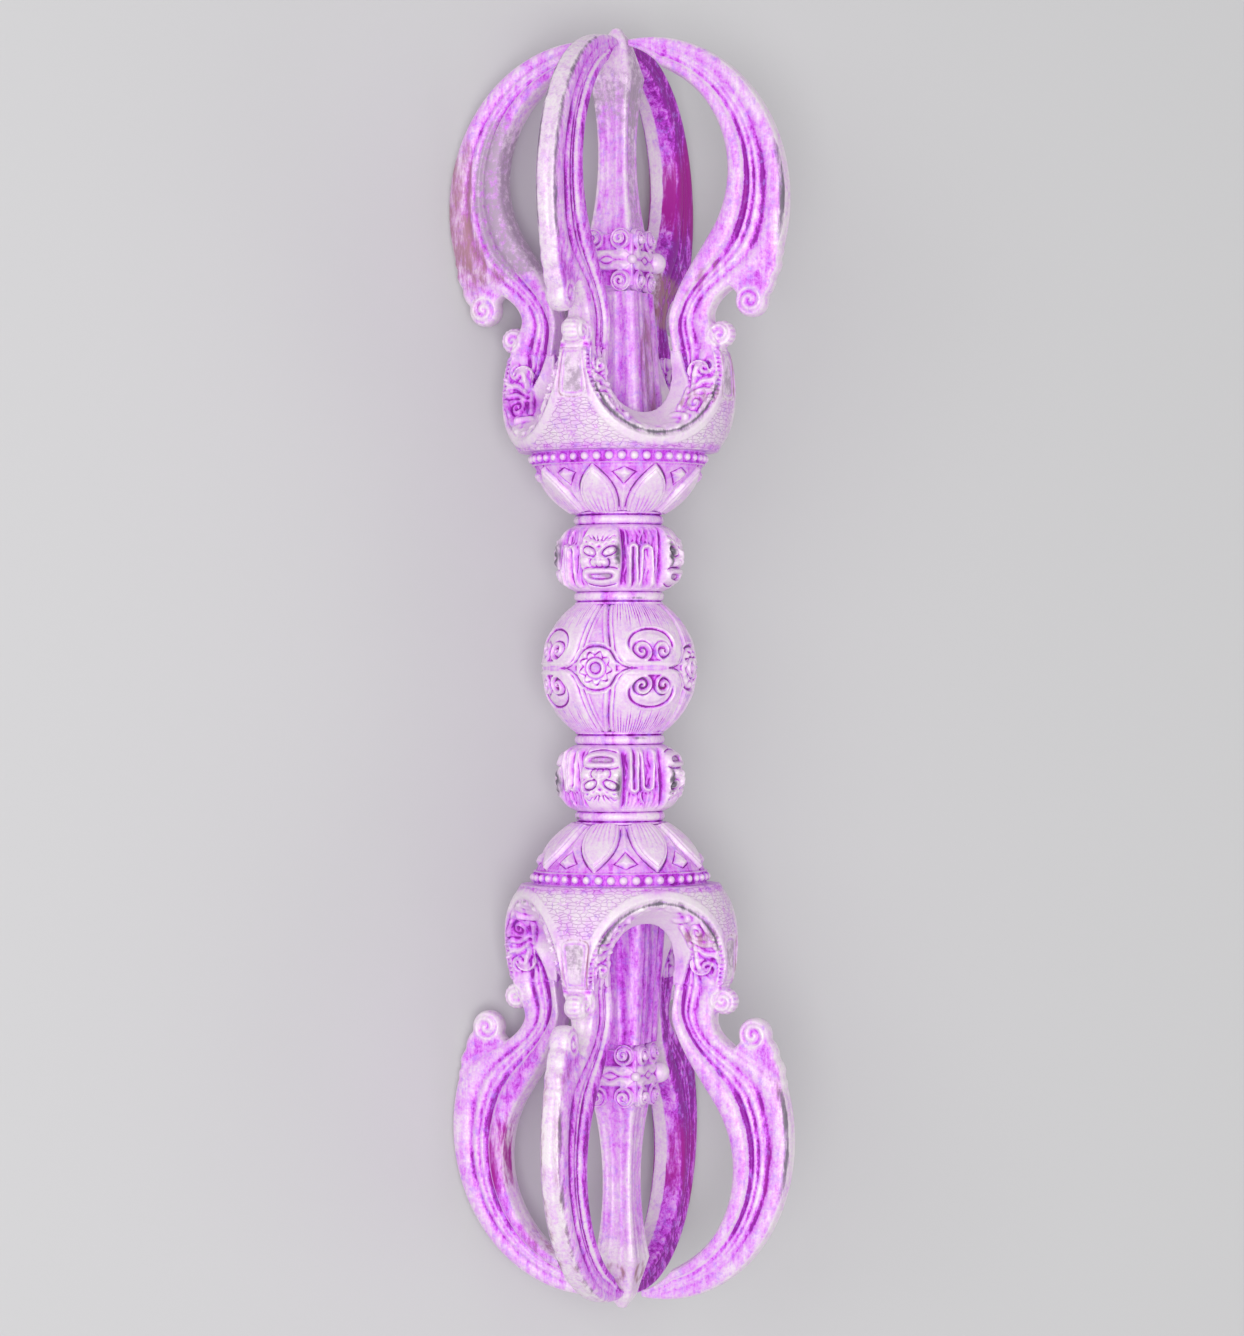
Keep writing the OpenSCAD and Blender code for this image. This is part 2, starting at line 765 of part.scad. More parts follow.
module upper_inner_collar() { upper(z_ball) collar(); }
module lower_inner_collar() { lower(z_ball) collar(); }
module upper_mask_drum() { upper(z_drum) mask_drum(); }
module lower_mask_drum() { lower(z_drum) mask_drum(); }
module upper_outer_collar() { upper(z_ring) collar(); }
module lower_outer_collar() { lower(z_ring) collar(); }
module upper_lotus_cup() { upper(z_lotus) lotus_cup(); }
module lower_lotus_cup() { lower(z_lotus) lotus_cup(); }
module upper_pearl_ring() { upper(z_pearl) pearl_ring(); }
module lower_pearl_ring() { lower(z_pearl) pearl_ring(); }
module upper_bulb() { upper(z_pearl) bulb(); }
module lower_bulb() { lower(z_pearl) bulb(); }
module upper_central_prong() { upper(z_floor) central_prong(); }
module lower_central_prong() { lower(z_floor) central_prong(); }
module upper_cloud_collar() { upper(z_cloud) cloud_collar(); }
module lower_cloud_collar() { lower(z_cloud) cloud_collar(); }
module upper_prong(i) { upper(z_horn) rotate([0, 0, quarter * (i - 1)]) prong(0); }
module lower_prong(i) { lower(z_horn) rotate([0, 0, quarter * (i - 1)]) prong(i == 2 ? free_lean : 0); }

laid() core_rod();
laid() centre_ball();
upper_inner_collar();
lower_inner_collar();
upper_mask_drum();
lower_mask_drum();
upper_outer_collar();
lower_outer_collar();
upper_lotus_cup();
lower_lotus_cup();
upper_pearl_ring();
lower_pearl_ring();
upper_bulb();
lower_bulb();
upper_central_prong();
lower_central_prong();
upper_cloud_collar();
lower_cloud_collar();
upper_prong(1);  // upper_prong_1
upper_prong(2);  // upper_prong_2
upper_prong(3);  // upper_prong_3
upper_prong(4);  // upper_prong_4
lower_prong(1);  // lower_prong_1
lower_prong(2);  // lower_prong_2
lower_prong(3);  // lower_prong_3
lower_prong(4);  // lower_prong_4
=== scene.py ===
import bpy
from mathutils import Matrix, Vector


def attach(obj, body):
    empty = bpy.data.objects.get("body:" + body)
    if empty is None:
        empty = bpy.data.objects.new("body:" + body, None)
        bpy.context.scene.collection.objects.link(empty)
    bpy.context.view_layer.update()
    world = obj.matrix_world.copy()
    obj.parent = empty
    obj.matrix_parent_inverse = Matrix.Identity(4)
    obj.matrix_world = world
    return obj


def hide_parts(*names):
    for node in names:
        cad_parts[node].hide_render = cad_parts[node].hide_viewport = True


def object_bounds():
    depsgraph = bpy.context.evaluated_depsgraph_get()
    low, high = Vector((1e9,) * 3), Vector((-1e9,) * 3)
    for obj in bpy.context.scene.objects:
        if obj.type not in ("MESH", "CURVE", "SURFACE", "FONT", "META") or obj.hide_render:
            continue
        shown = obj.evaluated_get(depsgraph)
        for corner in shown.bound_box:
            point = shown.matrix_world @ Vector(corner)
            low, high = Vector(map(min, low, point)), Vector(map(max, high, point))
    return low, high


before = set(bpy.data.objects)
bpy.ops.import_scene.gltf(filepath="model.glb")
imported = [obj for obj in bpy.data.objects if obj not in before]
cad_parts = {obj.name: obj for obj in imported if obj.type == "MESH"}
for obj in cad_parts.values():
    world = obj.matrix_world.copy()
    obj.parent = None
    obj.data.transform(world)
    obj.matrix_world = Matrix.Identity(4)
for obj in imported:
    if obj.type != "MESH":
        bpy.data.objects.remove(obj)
cad_box = [[float(v) for v in corner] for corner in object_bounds()]

import math

import bpy
import numpy as np
from mathutils import Matrix, Vector, kdtree

# Core rod: the drawn iron tie rod that the grip is threaded on, its two ends fixed in the central
# prongs. It is out of sight inside the castings, so the solid stays and only gets its drawn skin.
ROD_GREY, ROD_RUST = (0.16, 0.15, 0.155), (0.13, 0.075, 0.06)
rust_spots, draw_lines, draw_depth = 500, 2500, 0.00004
MIX_A, MIX_B, MIX_RESULT = 6, 7, 2


def feed(tree, socket, value):
    """Links another node's output into a socket, or sets the socket's own value."""
    if isinstance(value, bpy.types.NodeSocket):
        tree.links.new(value, socket)
    elif isinstance(value, tuple) and len(value) == 3 and socket.type == "RGBA":
        socket.default_value = (*value, 1)
    else:
        socket.default_value = value


def dress(tree, node, **inputs):
    """Feeds a node's inputs by their names."""
    for name, value in inputs.items():
        feed(tree, node.inputs[name.replace("_", " ")], value)


def add_node(tree, kind, **inputs):
    """A new shader node with its inputs fed."""
    node = tree.nodes.new("ShaderNode" + kind)
    dress(tree, node, **inputs)
    return node


def maths(tree, operation, *values, clamp=False):
    """Values joined by one kind of arithmetic, one after the other."""
    total = values[0]
    for value in values[1:]:
        step = add_node(tree, "Math")
        step.operation = operation
        feed(tree, step.inputs[0], total)
        feed(tree, step.inputs[1], value)
        total = step.outputs[0]
    step.use_clamp = clamp
    return total


def spread(tree, value, low, high, to_low=0.0, to_high=1.0):
    """Maps a value from one span to another, held at both ends."""
    step = add_node(tree, "MapRange", Value=value, From_Min=low, From_Max=high, To_Min=to_low, To_Max=to_high)
    step.interpolation_type = "SMOOTHSTEP"
    return step.outputs["Result"]


def blend_colour(tree, share, a, b):
    """Mixes two colours by a share between 0 and 1."""
    step = add_node(tree, "Mix", Factor=share)
    step.data_type = "RGBA"
    feed(tree, step.inputs[MIX_A], a)
    feed(tree, step.inputs[MIX_B], b)
    return step.outputs[MIX_RESULT]


def mottle(tree, scale, detail=5.0, rough=0.6, stretch=None):
    """Cloudy noise fixed to the object; scale counts spots in a metre."""
    place = add_node(tree, "TexCoord").outputs["Object"]
    if stretch:
        place = add_node(tree, "Mapping", Vector=place, Scale=stretch).outputs["Vector"]
    cloud = add_node(tree, "TexNoise", Vector=place, Scale=scale, Detail=detail, Roughness=rough)
    return cloud.outputs["Fac"]


def bare_material(name):
    """A new material with its Principled shader."""
    finish = bpy.data.materials.new(name)
    finish.use_nodes = True
    return finish, finish.node_tree, finish.node_tree.nodes["Principled BSDF"]


def bump(tree, shader, height, distance):
    """Lets a height roughen the surface by that many metres."""
    dress(tree, shader, Normal=add_node(tree, "Bump", Distance=distance, Height=height).outputs["Normal"])


drawn_iron, tree, shader = bare_material("drawn_iron")
rust = spread(tree, mottle(tree, rust_spots), 0.5, 0.62)
dress(tree, shader, Base_Color=blend_colour(tree, rust, ROD_GREY, ROD_RUST),
      Roughness=spread(tree, rust, 0, 1, 0.35, 0.7), Metallic=0.8)
bump(tree, shader, mottle(tree, draw_lines, stretch=(0.05, 1, 1)), draw_depth)
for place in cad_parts["core_rod"].material_slots:
    place.material = drawn_iron

# Centre ball: cast in one piece, with four rosettes on its equator, scroll pairs in roundels
# between them, and large striped petals from both seats; chased after casting and rubbed pale.
MM = 0.001
ENDS = {"upper": 1, "lower": -1}
GRIP_TURN = 4.0
DIAGONAL = math.sqrt(0.5)
rest_h = (cad_box[0][2] + cad_box[1][2]) / 2 / MM
ball_r, ball_half, bore_r = 10.5, 8.8, 2.05
ball_cols, ball_rows = 720, 190
full_stain, crease, pore_depth = 1.1, math.radians(65), 0.00003


def cosd(turn):
    """Cosine of an angle in degrees."""
    return np.cos(np.radians(turn))


def sind(turn):
    """Sine of an angle in degrees."""
    return np.sin(np.radians(turn))


def circle(turn):
    """Points of a unit circle at angles in degrees."""
    return np.column_stack((cosd(turn), sind(turn)))


def smooth(low, high, x):
    """Soft step from 0 at low to 1 at high."""
    t = np.clip((x - low) / (high - low), 0, 1)
    return t * t * (3 - 2 * t)


def line(d, w):
    """Soft ridge of half width w where the distance d is 0."""
    return np.exp(-(d / w) ** 2)


def tooled(d, *marks):
    """Ridges and grooves across a distance d, each with its height, place and half width in mm."""
    return sum(high * line(d - at, wide) for high, at, wide in marks)


def dome(t, power=2):
    """1 at 0, falling to 0 at 1 like the side of a dome."""
    return np.sqrt(np.clip(1 - abs(t) ** power, 0, 1))


def nearest(turn, period):
    """Signed angle to the nearest multiple of a period, in degrees."""
    return (turn + period / 2) % period - period / 2


def spiral(x, y, r, pitch, start=0.0):
    """A scroll of one rolled ridge: 1 on the ridge, -1 in its groove, 0 beyond its radius."""
    rho = np.hypot(x, y)
    coil = rho / pitch - np.arctan2(y, x) / (2 * np.pi) + start
    return np.cos(2 * np.pi * coil) * smooth(r, 0.8 * r, rho)


def normals_of(points, faces):
    """Unit normals at the points, from the faces' diagonals."""
    corner = points[faces]
    across = np.cross(corner[:, 2] - corner[:, 0], corner[:, 3] - corner[:, 1])
    n = np.column_stack([np.bincount(faces.ravel(), np.repeat(axis, 4), len(points)) for axis in across.T])
    return n / np.maximum(np.linalg.norm(n, axis=1), 1e-12)[:, None]


def eased(points, faces, rounds):
    """Each point moved towards the mean of its neighbours, a number of times."""
    a, b = faces.ravel(), np.roll(faces, -1, 1).ravel()
    n = len(points)
    count = np.bincount(a, minlength=n) + np.bincount(b, minlength=n)
    for _ in range(rounds):
        total = [np.bincount(a, points[b, k], n) + np.bincount(b, points[a, k], n) for k in range(3)]
        points = np.column_stack(total) / count[:, None]
    return points


def sunk(points, faces, rounds=14):
    """How far each point lies below its surroundings, in mm."""
    return ((eased(points, faces, rounds) - points) * normals_of(points, faces)).sum(1)


def new_object(name, data):
    """A new object in the scene."""
    made = bpy.data.objects.new(name, data)
    bpy.context.collection.objects.link(made)
    return made


def chase(node, slot, finish, points, faces, way=1, **fields):
    """Lays a finished casting, upright and in mm, along X in place of its solid, with stains per point."""
    mesh = bpy.data.meshes.new(node + "_chased")
    x, y, z = points.T
    laid = np.column_stack((way * z, DIAGONAL * (x - y), rest_h + DIAGONAL * (x + y))) * MM
    mesh.from_pydata(laid, [], faces if way > 0 else faces[:, ::-1])
    mesh.shade_smooth()
    mesh.set_sharp_from_angle(angle=crease)
    for field, values in fields.items():
        values = np.clip(values, 0, full_stain).ravel().astype(np.float32)
        mesh.attributes.new(field, "FLOAT", "POINT").data.foreach_set("value", values)
    mesh.materials.append(finish)
    piece = new_object(node + "_chased", mesh)
    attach(piece, "root")
    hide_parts(node)


def turned_blank(skin, cols, inner_r=bore_r, lean=(1.0, 0.0)):
    """A skin of (r, z) closed through its bore, the way relief moves it, and all angles and heights."""
    outline = np.vstack((skin, [(inner_r, skin[-1, 1]), (inner_r, skin[0, 1])]))
    steer = np.vstack((np.broadcast_to(lean, skin.shape), np.zeros((2, 2))))
    turn, rise = np.meshgrid(np.arange(cols) * 360 / cols, outline[:, 1], indexing="ij")
    return outline, steer, turn, rise


def lathe(outline, steer, relief):
    """Points and faces of a turned blank with its relief."""
    cols, rows = relief.shape
    turn = np.radians(np.arange(cols) * 360 / cols)[:, None]
    r = outline[:, 0] + relief * steer[:, 0]
    z = outline[:, 1] + relief * steer[:, 1]
    points = np.stack((r * np.cos(turn), r * np.sin(turn), np.broadcast_to(z, r.shape)), -1)
    i, j = np.meshgrid(np.arange(cols), np.arange(rows), indexing="ij")
    i2, j2 = (i + 1) % cols, (j + 1) % rows
    faces = np.stack((i * rows + j, i2 * rows + j, i2 * rows + j2, i * rows + j2), -1)
    return points.reshape(-1, 3), faces.reshape(-1, 4)


def srgb(r, g, b):
    """A colour as seen on a screen, 0 to 255, as the linear light that shaders use."""
    share = np.array((r, g, b)) / 255
    return tuple(float(v) for v in np.where(share > 0.04045, ((share + 0.055) / 1.055) ** 2.4, share / 12.92))


def swing(tree, noise, by):
    """Noise as a swing of that much either way."""
    return spread(tree, noise, 0.3, 0.7, -by, by)


# Colours from rubbed metal to deepest patina; the last, darkest stop is partly patina and partly painted
# shade for the deepest hollows.
PATINA_AND_SHADE = [srgb(243, 232, 240), srgb(239, 212, 241), srgb(233, 181, 243), srgb(225, 138, 244),
          srgb(207, 68, 229), srgb(148, 10, 163)]
VIOLET, DEEP = srgb(184, 140, 246), srgb(168, 3, 150)
# The third grey on the next line is for painted shade and for dark lines painted for glints; STONE and RUST
# are films on the metal itself.
STONE, RUST, SHADING_GREY = srgb(182, 160, 184), srgb(170, 124, 138), srgb(112, 104, 118)
STAINS = ("Deep", "Grey", "Rust", "Soot")
patina = bpy.data.node_groups.new("patina", "ShaderNodeTree")
for name in ("Hollow", "Tone", "Grain") + STAINS:
    patina.interface.new_socket(name, in_out="INPUT", socket_type="NodeSocketFloat")
for name, kind in (("Color", "Color"), ("Roughness", "Float"), ("Height", "Float")):
    patina.interface.new_socket(name, in_out="OUTPUT", socket_type="NodeSocket" + kind)
given = patina.nodes.new("NodeGroupInput").outputs
cloud = mottle(patina, 230, 7, 0.7)
blotch = mottle(patina, 950, 5, 0.75)
speckle = mottle(patina, 2300, 4, 0.75)
streak = mottle(patina, 800, 5, 0.7, (0.2, 1, 1))
pores = mottle(patina, 4200, 3, 0.6)
patchy = maths(patina, "MULTIPLY", given["Hollow"], spread(patina, streak, 0.3, 0.65, 0.66, 1.1))
grain = [swing(patina, noise, by) for noise, by in ((speckle, 0.4), (blotch, 0.35), (streak, 0.36))]
grain = maths(patina, "MULTIPLY", maths(patina, "ADD", *grain), given["Grain"])
level = maths(patina, "ADD", patchy, given["Tone"], swing(patina, cloud, 0.1), grain, clamp=True)
ramp = add_node(patina, "ValToRGB", Fac=level)
for k, colour in enumerate(PATINA_AND_SHADE):
    stop = k / (len(PATINA_AND_SHADE) - 1)
    mark = ramp.color_ramp.elements[k] if k < 2 else ramp.color_ramp.elements.new(stop)
    mark.position = stop
    mark.color = (*colour, 1)
tint = spread(patina, mottle(patina, 800, 6, 0.75), 0.51, 0.66, 0, 0.5)
tint = maths(patina, "MULTIPLY", tint, spread(patina, level, 0.12, 0.4))
colour = blend_colour(patina, tint, ramp.outputs["Color"], VIOLET)
# Films over the patina: deep stain, grey film and rust are the metal's own; the fourth film, in the dark
# grey, is painted shade and dark lines painted for glints.
for name, shade, edge, ragged in (("Deep", DEEP, streak, 0.5), ("Grey", STONE, blotch, 0.5),
                                  ("Rust", RUST, streak, 0.45), ("Soot", SHADING_GREY, streak, 0.4)):
    film = maths(patina, "ADD", given[name], swing(patina, edge, ragged))
    film = maths(patina, "MULTIPLY", spread(patina, film, 0.05, 1.1), spread(patina, given[name], 0.02, 0.3))
    colour = blend_colour(patina, film, colour, shade)
dress(patina, patina.nodes.new("NodeGroupOutput"), Color=colour,
      Roughness=spread(patina, level, 0, 1, 0.38, 0.6),
      Height=maths(patina, "ADD", pores, maths(patina, "MULTIPLY", blotch, 2.0)))


def per_point(tree, field):
    """A value that a casting carries at each of its points."""
    value = add_node(tree, "Attribute")
    value.attribute_name = field
    return value.outputs["Fac"]


def rubbed_cast(name, tone, grain):
    """Pale rubbed cast metal with magenta patina left in its hollows, and painted shade where a casting
    carries it.
    """
    finish, tree, shader = bare_material(name)
    place = add_node(tree, "Group")
    place.node_tree = patina
    stains = {field: per_point(tree, field.lower()) for field in ("Hollow",) + STAINS}
    dress(tree, place, Tone=tone, Grain=grain, **stains)
    dress(tree, shader, Base_Color=place.outputs["Color"], Roughness=place.outputs["Roughness"],
          Metallic=0.12)
    bump(tree, shader, place.outputs["Height"], pore_depth)
    return finish


def wash(depth, low, high, worn=0.25):
    """Patina left in a hollow of that depth in mm, and rubbed off edges that stand out."""
    return smooth(low, high, depth) - worn * smooth(low, high, -depth)


def deepest_shading(depth):
    """Painted shade, in dark grey, in the deepest cuts of the chasing."""
    return 0.6 * smooth(0.07, 0.2, depth)


grip_metal = rubbed_cast("grip_metal", 0.15, 0.2)
lat = np.linspace(-math.asin(ball_half / ball_r), math.asin(ball_half / ball_r), ball_rows)
lean = np.column_stack((np.cos(lat), np.sin(lat)))
outline, steer, turn, _ = turned_blank(ball_r * lean, ball_cols, lean=lean)
in_bore = 99
arc = np.append(ball_r * lat, [in_bore, -in_bore])[None, :]
away = abs(arc)
girth = np.radians(ball_r * np.append(np.cos(lat), [1, 1]))[None, :]
to_rose = nearest(turn - GRIP_TURN, 90)
to_scroll = nearest(turn - GRIP_TURN - 45, 90)
side_r, side_s = to_rose * girth, to_scroll * girth

petal_low, petal_wide, petal_seat, petal_round, petal_end = 15.0, 34.0, 40.5, 3.3, 10.4
petal_lobe = petal_low + (petal_wide - petal_low) * dome(1 - away / petal_round)
petal_flare = petal_wide + (petal_seat - petal_wide) * (away - petal_round) / (petal_end - petal_round)
in_petal = (np.where(away < petal_round, petal_lobe, petal_flare) - abs(to_scroll)) * girth
height = 0.4 * smooth(0, 1.3, in_petal)
height += tooled(in_petal, (-0.26, 0, 0.18), (0.1, 0.36, 0.16), (-0.17, 0.68, 0.13))
stripe = smooth(0.1, 0.95, cosd(to_scroll * 128 + 60 * sind(turn * 7))) * smooth(0.75, 1.2, in_petal)
stripe = stripe * smooth(5.6, 8.4, away + 1.1 * sind(turn * 37))
height -= 0.1 * stripe
sepal = (np.interp(away, [3.2, petal_end], [10.5, 4.6]) - abs(to_rose)) * girth
height += smooth(2.9, 3.4, away) * (0.36 * smooth(0, 0.4, sepal) - 0.12 * line(sepal - 0.72, 0.16))

rose_r, rose_lobes, rose_points = 3.0, 11, 9
rho, around = np.hypot(side_r, arc), np.arctan2(arc, side_r)
rose = smooth(rose_r, rose_r - 0.25, rho)
zigzag = line(rho - 2.08 - 0.26 * np.cos(rose_points * around + 1), 0.15)
lobes = 0.5 + 0.5 * np.cos(rose_lobes * around)
rose_relief = 0.16 + 0.36 * lobes * line(rho - 2.25, 0.45) + 0.46 * smooth(0.74, 0, rho) - 0.22 * zigzag
rose_relief += tooled(rho, (-0.28, 1.5, 0.16), (0.26, 1.12, 0.2), (-0.32, 0.76, 0.14))
height = height * (1 - rose) + rose * rose_relief
height += (1 - rose) * tooled(rho, (0.2, 3.45, 0.16), (-0.2, 3.15, 0.13)) * smooth(1.0, 2.0, away)

roundel = 1 - np.hypot(side_s / 3.35, (away - 3.15) / 2.4)
in_round = smooth(0, 0.1, roundel)
arch = smooth(1.8, 3.4, away)
height += arch * tooled(roundel, (-0.3, 0, 0.06), (0.14, -0.11, 0.06)) - 0.16 * in_round
curl_x, curl_y = abs(side_s) - 1.62, away - 2.35
height += 0.42 * spiral(curl_x, curl_y, 1.62, 0.98, 0.3) * in_round
height += 0.22 * smooth(0.2, 0.45, roundel) * smooth(2.9, 3.6, away)
band = smooth(0.44, 0.2, away + 0.07 * sind(turn * 13)) * (1 - rose)
height += 0.16 * line(away - 0.66, 0.2) * (1 - rose) - 0.1 * band
points, faces = lathe(outline, steer, height)
depth = sunk(points, faces)
between_curls = line(side_s, 0.34) * line(away - 2.2, 0.8)
ground = smooth(0.1, -0.35, in_petal) * (1 - rose)
extra = 0.06 * band + 0.5 * zigzag * rose + 0.6 * between_curls + 0.18 * ground + 0.45 * line(rho, 0.6)
extra += 0.7 * line(roundel, 0.05) * smooth(2, 3.6, away) + 0.25 * in_round * smooth(3.6, 2.4, away)
extra += 0.3 * smooth(9.4, 10.2, away) + 0.42 * stripe
dark_curl = (line(np.hypot(curl_x, curl_y) - 0.35, 0.4) * in_round * (side_s > 0)).ravel()
# The deepest cuts of the ball get painted shade in dark grey.
chase("centre_ball", "grip_metal", grip_metal, points, faces,
      hollow=0.05 + 0.76 * wash(depth, 0.006, 0.12) + extra.ravel(),
      deep=0.9 * dark_curl * smooth(0.0, 0.06, depth), soot=deepest_shading(depth))

# Ring collars: turned rings between ball, mask drums and lotus cups, threaded on the rod: a broad
# bead towards the drum and a thin one beyond it, with patina in the groove and at both faces.
collar_r, collar_h, collar_foot, groove_at, collar_cols = 6.35, 1.9, 5.65, 0.5, 360
thin_bead, thin_at = (0.3, 0.2), (collar_r - 0.42, 0.25)
broad_bead, broad_at = (0.6, 0.66), (collar_r - 0.6, groove_at + 0.7)
collar_places = {"inner_collar": (8.8, False), "outer_collar": (20.0, True)}


def chase_both(place, slot, finish, points, faces, **fields):
    """The same casting at both ends of the sceptre."""
    for end, way in ENDS.items():
        chase(f"{end}_{place}", slot, finish, points, faces, way, **fields)


bead = circle(np.linspace(-85, 85, 13))
skin = np.vstack(((collar_foot, 0.0), bead * thin_bead + thin_at, bead * broad_bead + broad_at,
                  (collar_foot, collar_h)))
outline, steer, turn, rise = turned_blank(skin, collar_cols)
wobble = 0.04 * sind(turn * 5 + 40) + 0.03 * sind(turn * 11) - 0.06
points, faces = lathe(outline, steer, wobble)
hollow = tooled(rise, (0.8, groove_at, 0.14), (0.6, 0, 0.14), (0.6, collar_h, 0.18))
hollow += 0.3 * smooth(0.1, 0.8, sind(turn * 4 + 70) * sind(turn * 7 + 20))
# A dark grey mark painted at one place on the broad bead, just above the groove, standing for the bead's
# glint; the same on every collar.
soot = 0.8 * line(nearest(turn - 48, 360), 12) * line(rise - groove_at - 0.45, 0.16)
collar_metal = rubbed_cast("collar_metal", 0.22, 0.28)
for place, (z, broad_low) in collar_places.items():
    placed = points * (1, -1, -1) + (0, 0, z + collar_h) if broad_low else points + (0, 0, z)
    chase_both(place, "collar_metal", collar_metal, placed, faces, hollow=hollow, soot=soot)

# Mask drums: cast drums with four wrathful masks in high relief, brows towards the prongs, and
# looped ribbons and hair between them; threaded on the rod and chased by hand.
drum_z, drum_h, drum_r, seat_r = 10.7, 9.3, 7.3, 6.0
mask_r, mask_half, face_girth, gap_girth = 8.75, 4.5, 8.6, 7.6
drum_cols, drum_rows = 720, 120


def sleeve(r, h, rows):
    """A straight skin of (r, z)."""
    return np.column_stack((np.full(rows, r), np.linspace(0, h, rows)))


def squircle(px, py, half_x, half_y, blunt=2.7):
    """1 on a blunt oval of these half sizes, less inside it."""
    return ((abs(px) / half_x) ** blunt + (abs(py) / half_y) ** blunt) ** (1 / blunt)


outline, steer, turn, z = turned_blank(sleeve(seat_r, drum_h, drum_rows), drum_cols)
y = z - drum_h / 2
x = np.radians(nearest(turn - GRIP_TURN, 90)) * face_girth
gap = np.radians(nearest(turn - GRIP_TURN - 45, 90)) * gap_girth
wide, tall = abs(x), abs(y)
shell = (drum_r - seat_r) * dome(y / (drum_h / 2), 3)
bulge = (mask_r - seat_r) * dome(y / mask_half, 2.3)
mask_in = smooth(3.5, 2.8, wide + 0.03 * y ** 2)
height = shell + (np.maximum(bulge, shell) - shell) * mask_in
face = mask_in * smooth(4.4, 4.0, tall)

lid_y = y - 0.8 - 0.28 * (wide - 1.5)
above = lid_y > 0
eye = np.hypot((wide - 1.48) / 0.84, lid_y / np.where(above, 0.56, 0.46))
pupil = np.hypot(wide - 1.3, lid_y + 0.06)
feature = 0.5 * dome(eye) - np.where(above, 0.4, 0.24) * line(eye - 1.24, 0.2) + 0.3 * line(eye - 1.75, 0.3)
feature -= 0.22 * line(pupil, 0.2)
brow = y - 1.85 - 0.32 * np.clip(wide - 0.3, 0, 2.4) - 0.12 * np.cos(wide * 6.5)
feature += 0.36 * line(brow, 0.3) * smooth(3.0, 2.4, wide)
feature -= 0.16 * line(brow - 0.52, 0.13) * smooth(2.6, 2.0, wide)
for frown in (-0.75, -0.3, 0.25, 0.7):
    feature -= 0.3 * line(x - frown * (y - 1.3), 0.13) * line(y - 2.6, 0.6)
bridge = line(x, 0.5) * smooth(-1.3, -0.9, y) * smooth(1.6, 0.7, y)
wing = np.hypot((wide - 0.78) / 0.95, y + 0.72)
feature += 0.55 * bridge + 0.3 * line(np.hypot(x, y + 0.6), 0.5)
feature += 0.42 * smooth(0.62, 0.2, wing) - 0.36 * line(wing - 0.72, 0.16) * smooth(0.5, 0.9, wide)
feature -= 0.3 * line(np.hypot(wide - 0.42, y + 1.06), 0.2)
cheek = np.hypot((wide - 2.3) / 0.85, (y + 0.55) / 0.7)
feature += 0.36 * smooth(1.1, 0.2, cheek)
mouth_y = y + 2.62 + 0.06 * np.cos(x * 1.3)
lips = squircle(x, mouth_y, 2.75, 1.12)
gape = squircle(x, mouth_y, 2.15, 0.52)
feature += 0.42 * smooth(1.08, 0.8, lips) - 0.66 * smooth(1.12, 0.72, gape) - 0.3 * line(lips - 1.16, 0.11)
height += feature * face

ribbon = np.full(gap.shape, 9.0)
for loop_at, loop_r, loop_top in ((-1.5, 0.45, 1.3), (0.55, 0.78, 0.8)):
    leg = (gap - loop_at) / (1 + 0.08 * np.clip(-y, 0, 4))
    bow = abs(np.hypot(leg, y - loop_top) - loop_r)
    ribbon = np.minimum(ribbon, np.where(y < loop_top, abs(abs(leg) - loop_r), bow))
between = (1 - mask_in) * smooth(4.5, 3.6, tall)
loops = 0.7 * line(ribbon, 0.3) + 0.35 * line(abs(gap) - 2.3 - 0.1 * y, 0.22)
loops += 0.35 * line(gap + 0.2 - 0.4 * np.sin(y * 2), 0.2) * smooth(1.4, 2.2, y)
height += between * (loops + 0.05 * np.cos(gap * 9 + 2.4 * np.sin(y * 1.7)))
points, faces = lathe(outline, steer, height)
depth = sunk(points, faces, 16)
extra = 0.42 * between * (1 - 0.8 * line(ribbon, 0.3)) + 0.2 * smooth(1.05, 0.7, gape) * face
extra += 0.05 + 0.4 * smooth(3.9, 4.5, tall) + 0.4 * line(wide - 3.4, 0.25) * smooth(4, 3, tall)
# Painted shade in dark grey down one side of each mask's face: the same side on three masks, the other side
# on the second one. The deepest cuts get painted shade as well.
which = np.round((turn - GRIP_TURN) / 90) % 4
shaded = np.where(which == 1, -2.2, 2.8)
soot = 1.1 * line(np.hypot((x - shaded) / 0.75, (y - 0.6) / 2.6), 0.7) * face
chase_both("mask_drum", "grip_metal", grip_metal, points + (0, 0, drum_z), faces,
           hollow=0.95 * wash(depth, 0.01, 0.15) + extra.ravel(),
           soot=np.maximum(soot.ravel(), deepest_shading(depth)), grey=0.5 * smooth(1.0, 0.7, gape) * face)

# Lotus cups: flaring cast cups of eight pointed petals with small leaf tips between them, their
# points against the pearl ring; each petal has a raised edge and fine chased lines.
lotus_z, lotus_h, foot_r, rim_r = 21.9, 6.4, 6.1, 11.8
lotus_cols, lotus_rows = 720, 96
petal_step, leaf_at, leaf_half = 45, 0.8, 1.5
petal_shape = [0, 0.2, 0.42, 0.58, 0.7, 0.84, 0.93, 0.97], [19, 18.4, 16, 12.8, 9.6, 5.2, 2.0, 0]
lotus_mid = (rim_r ** 2 + lotus_h ** 2 - foot_r ** 2) / (2 * lotus_h)
lotus_bend = math.hypot(foot_r, lotus_mid)
rise = np.linspace(0, lotus_h, lotus_rows)
flare = np.sqrt(lotus_bend ** 2 - (rise - lotus_mid) ** 2)
lean = np.column_stack((flare, rise - lotus_mid)) / lotus_bend
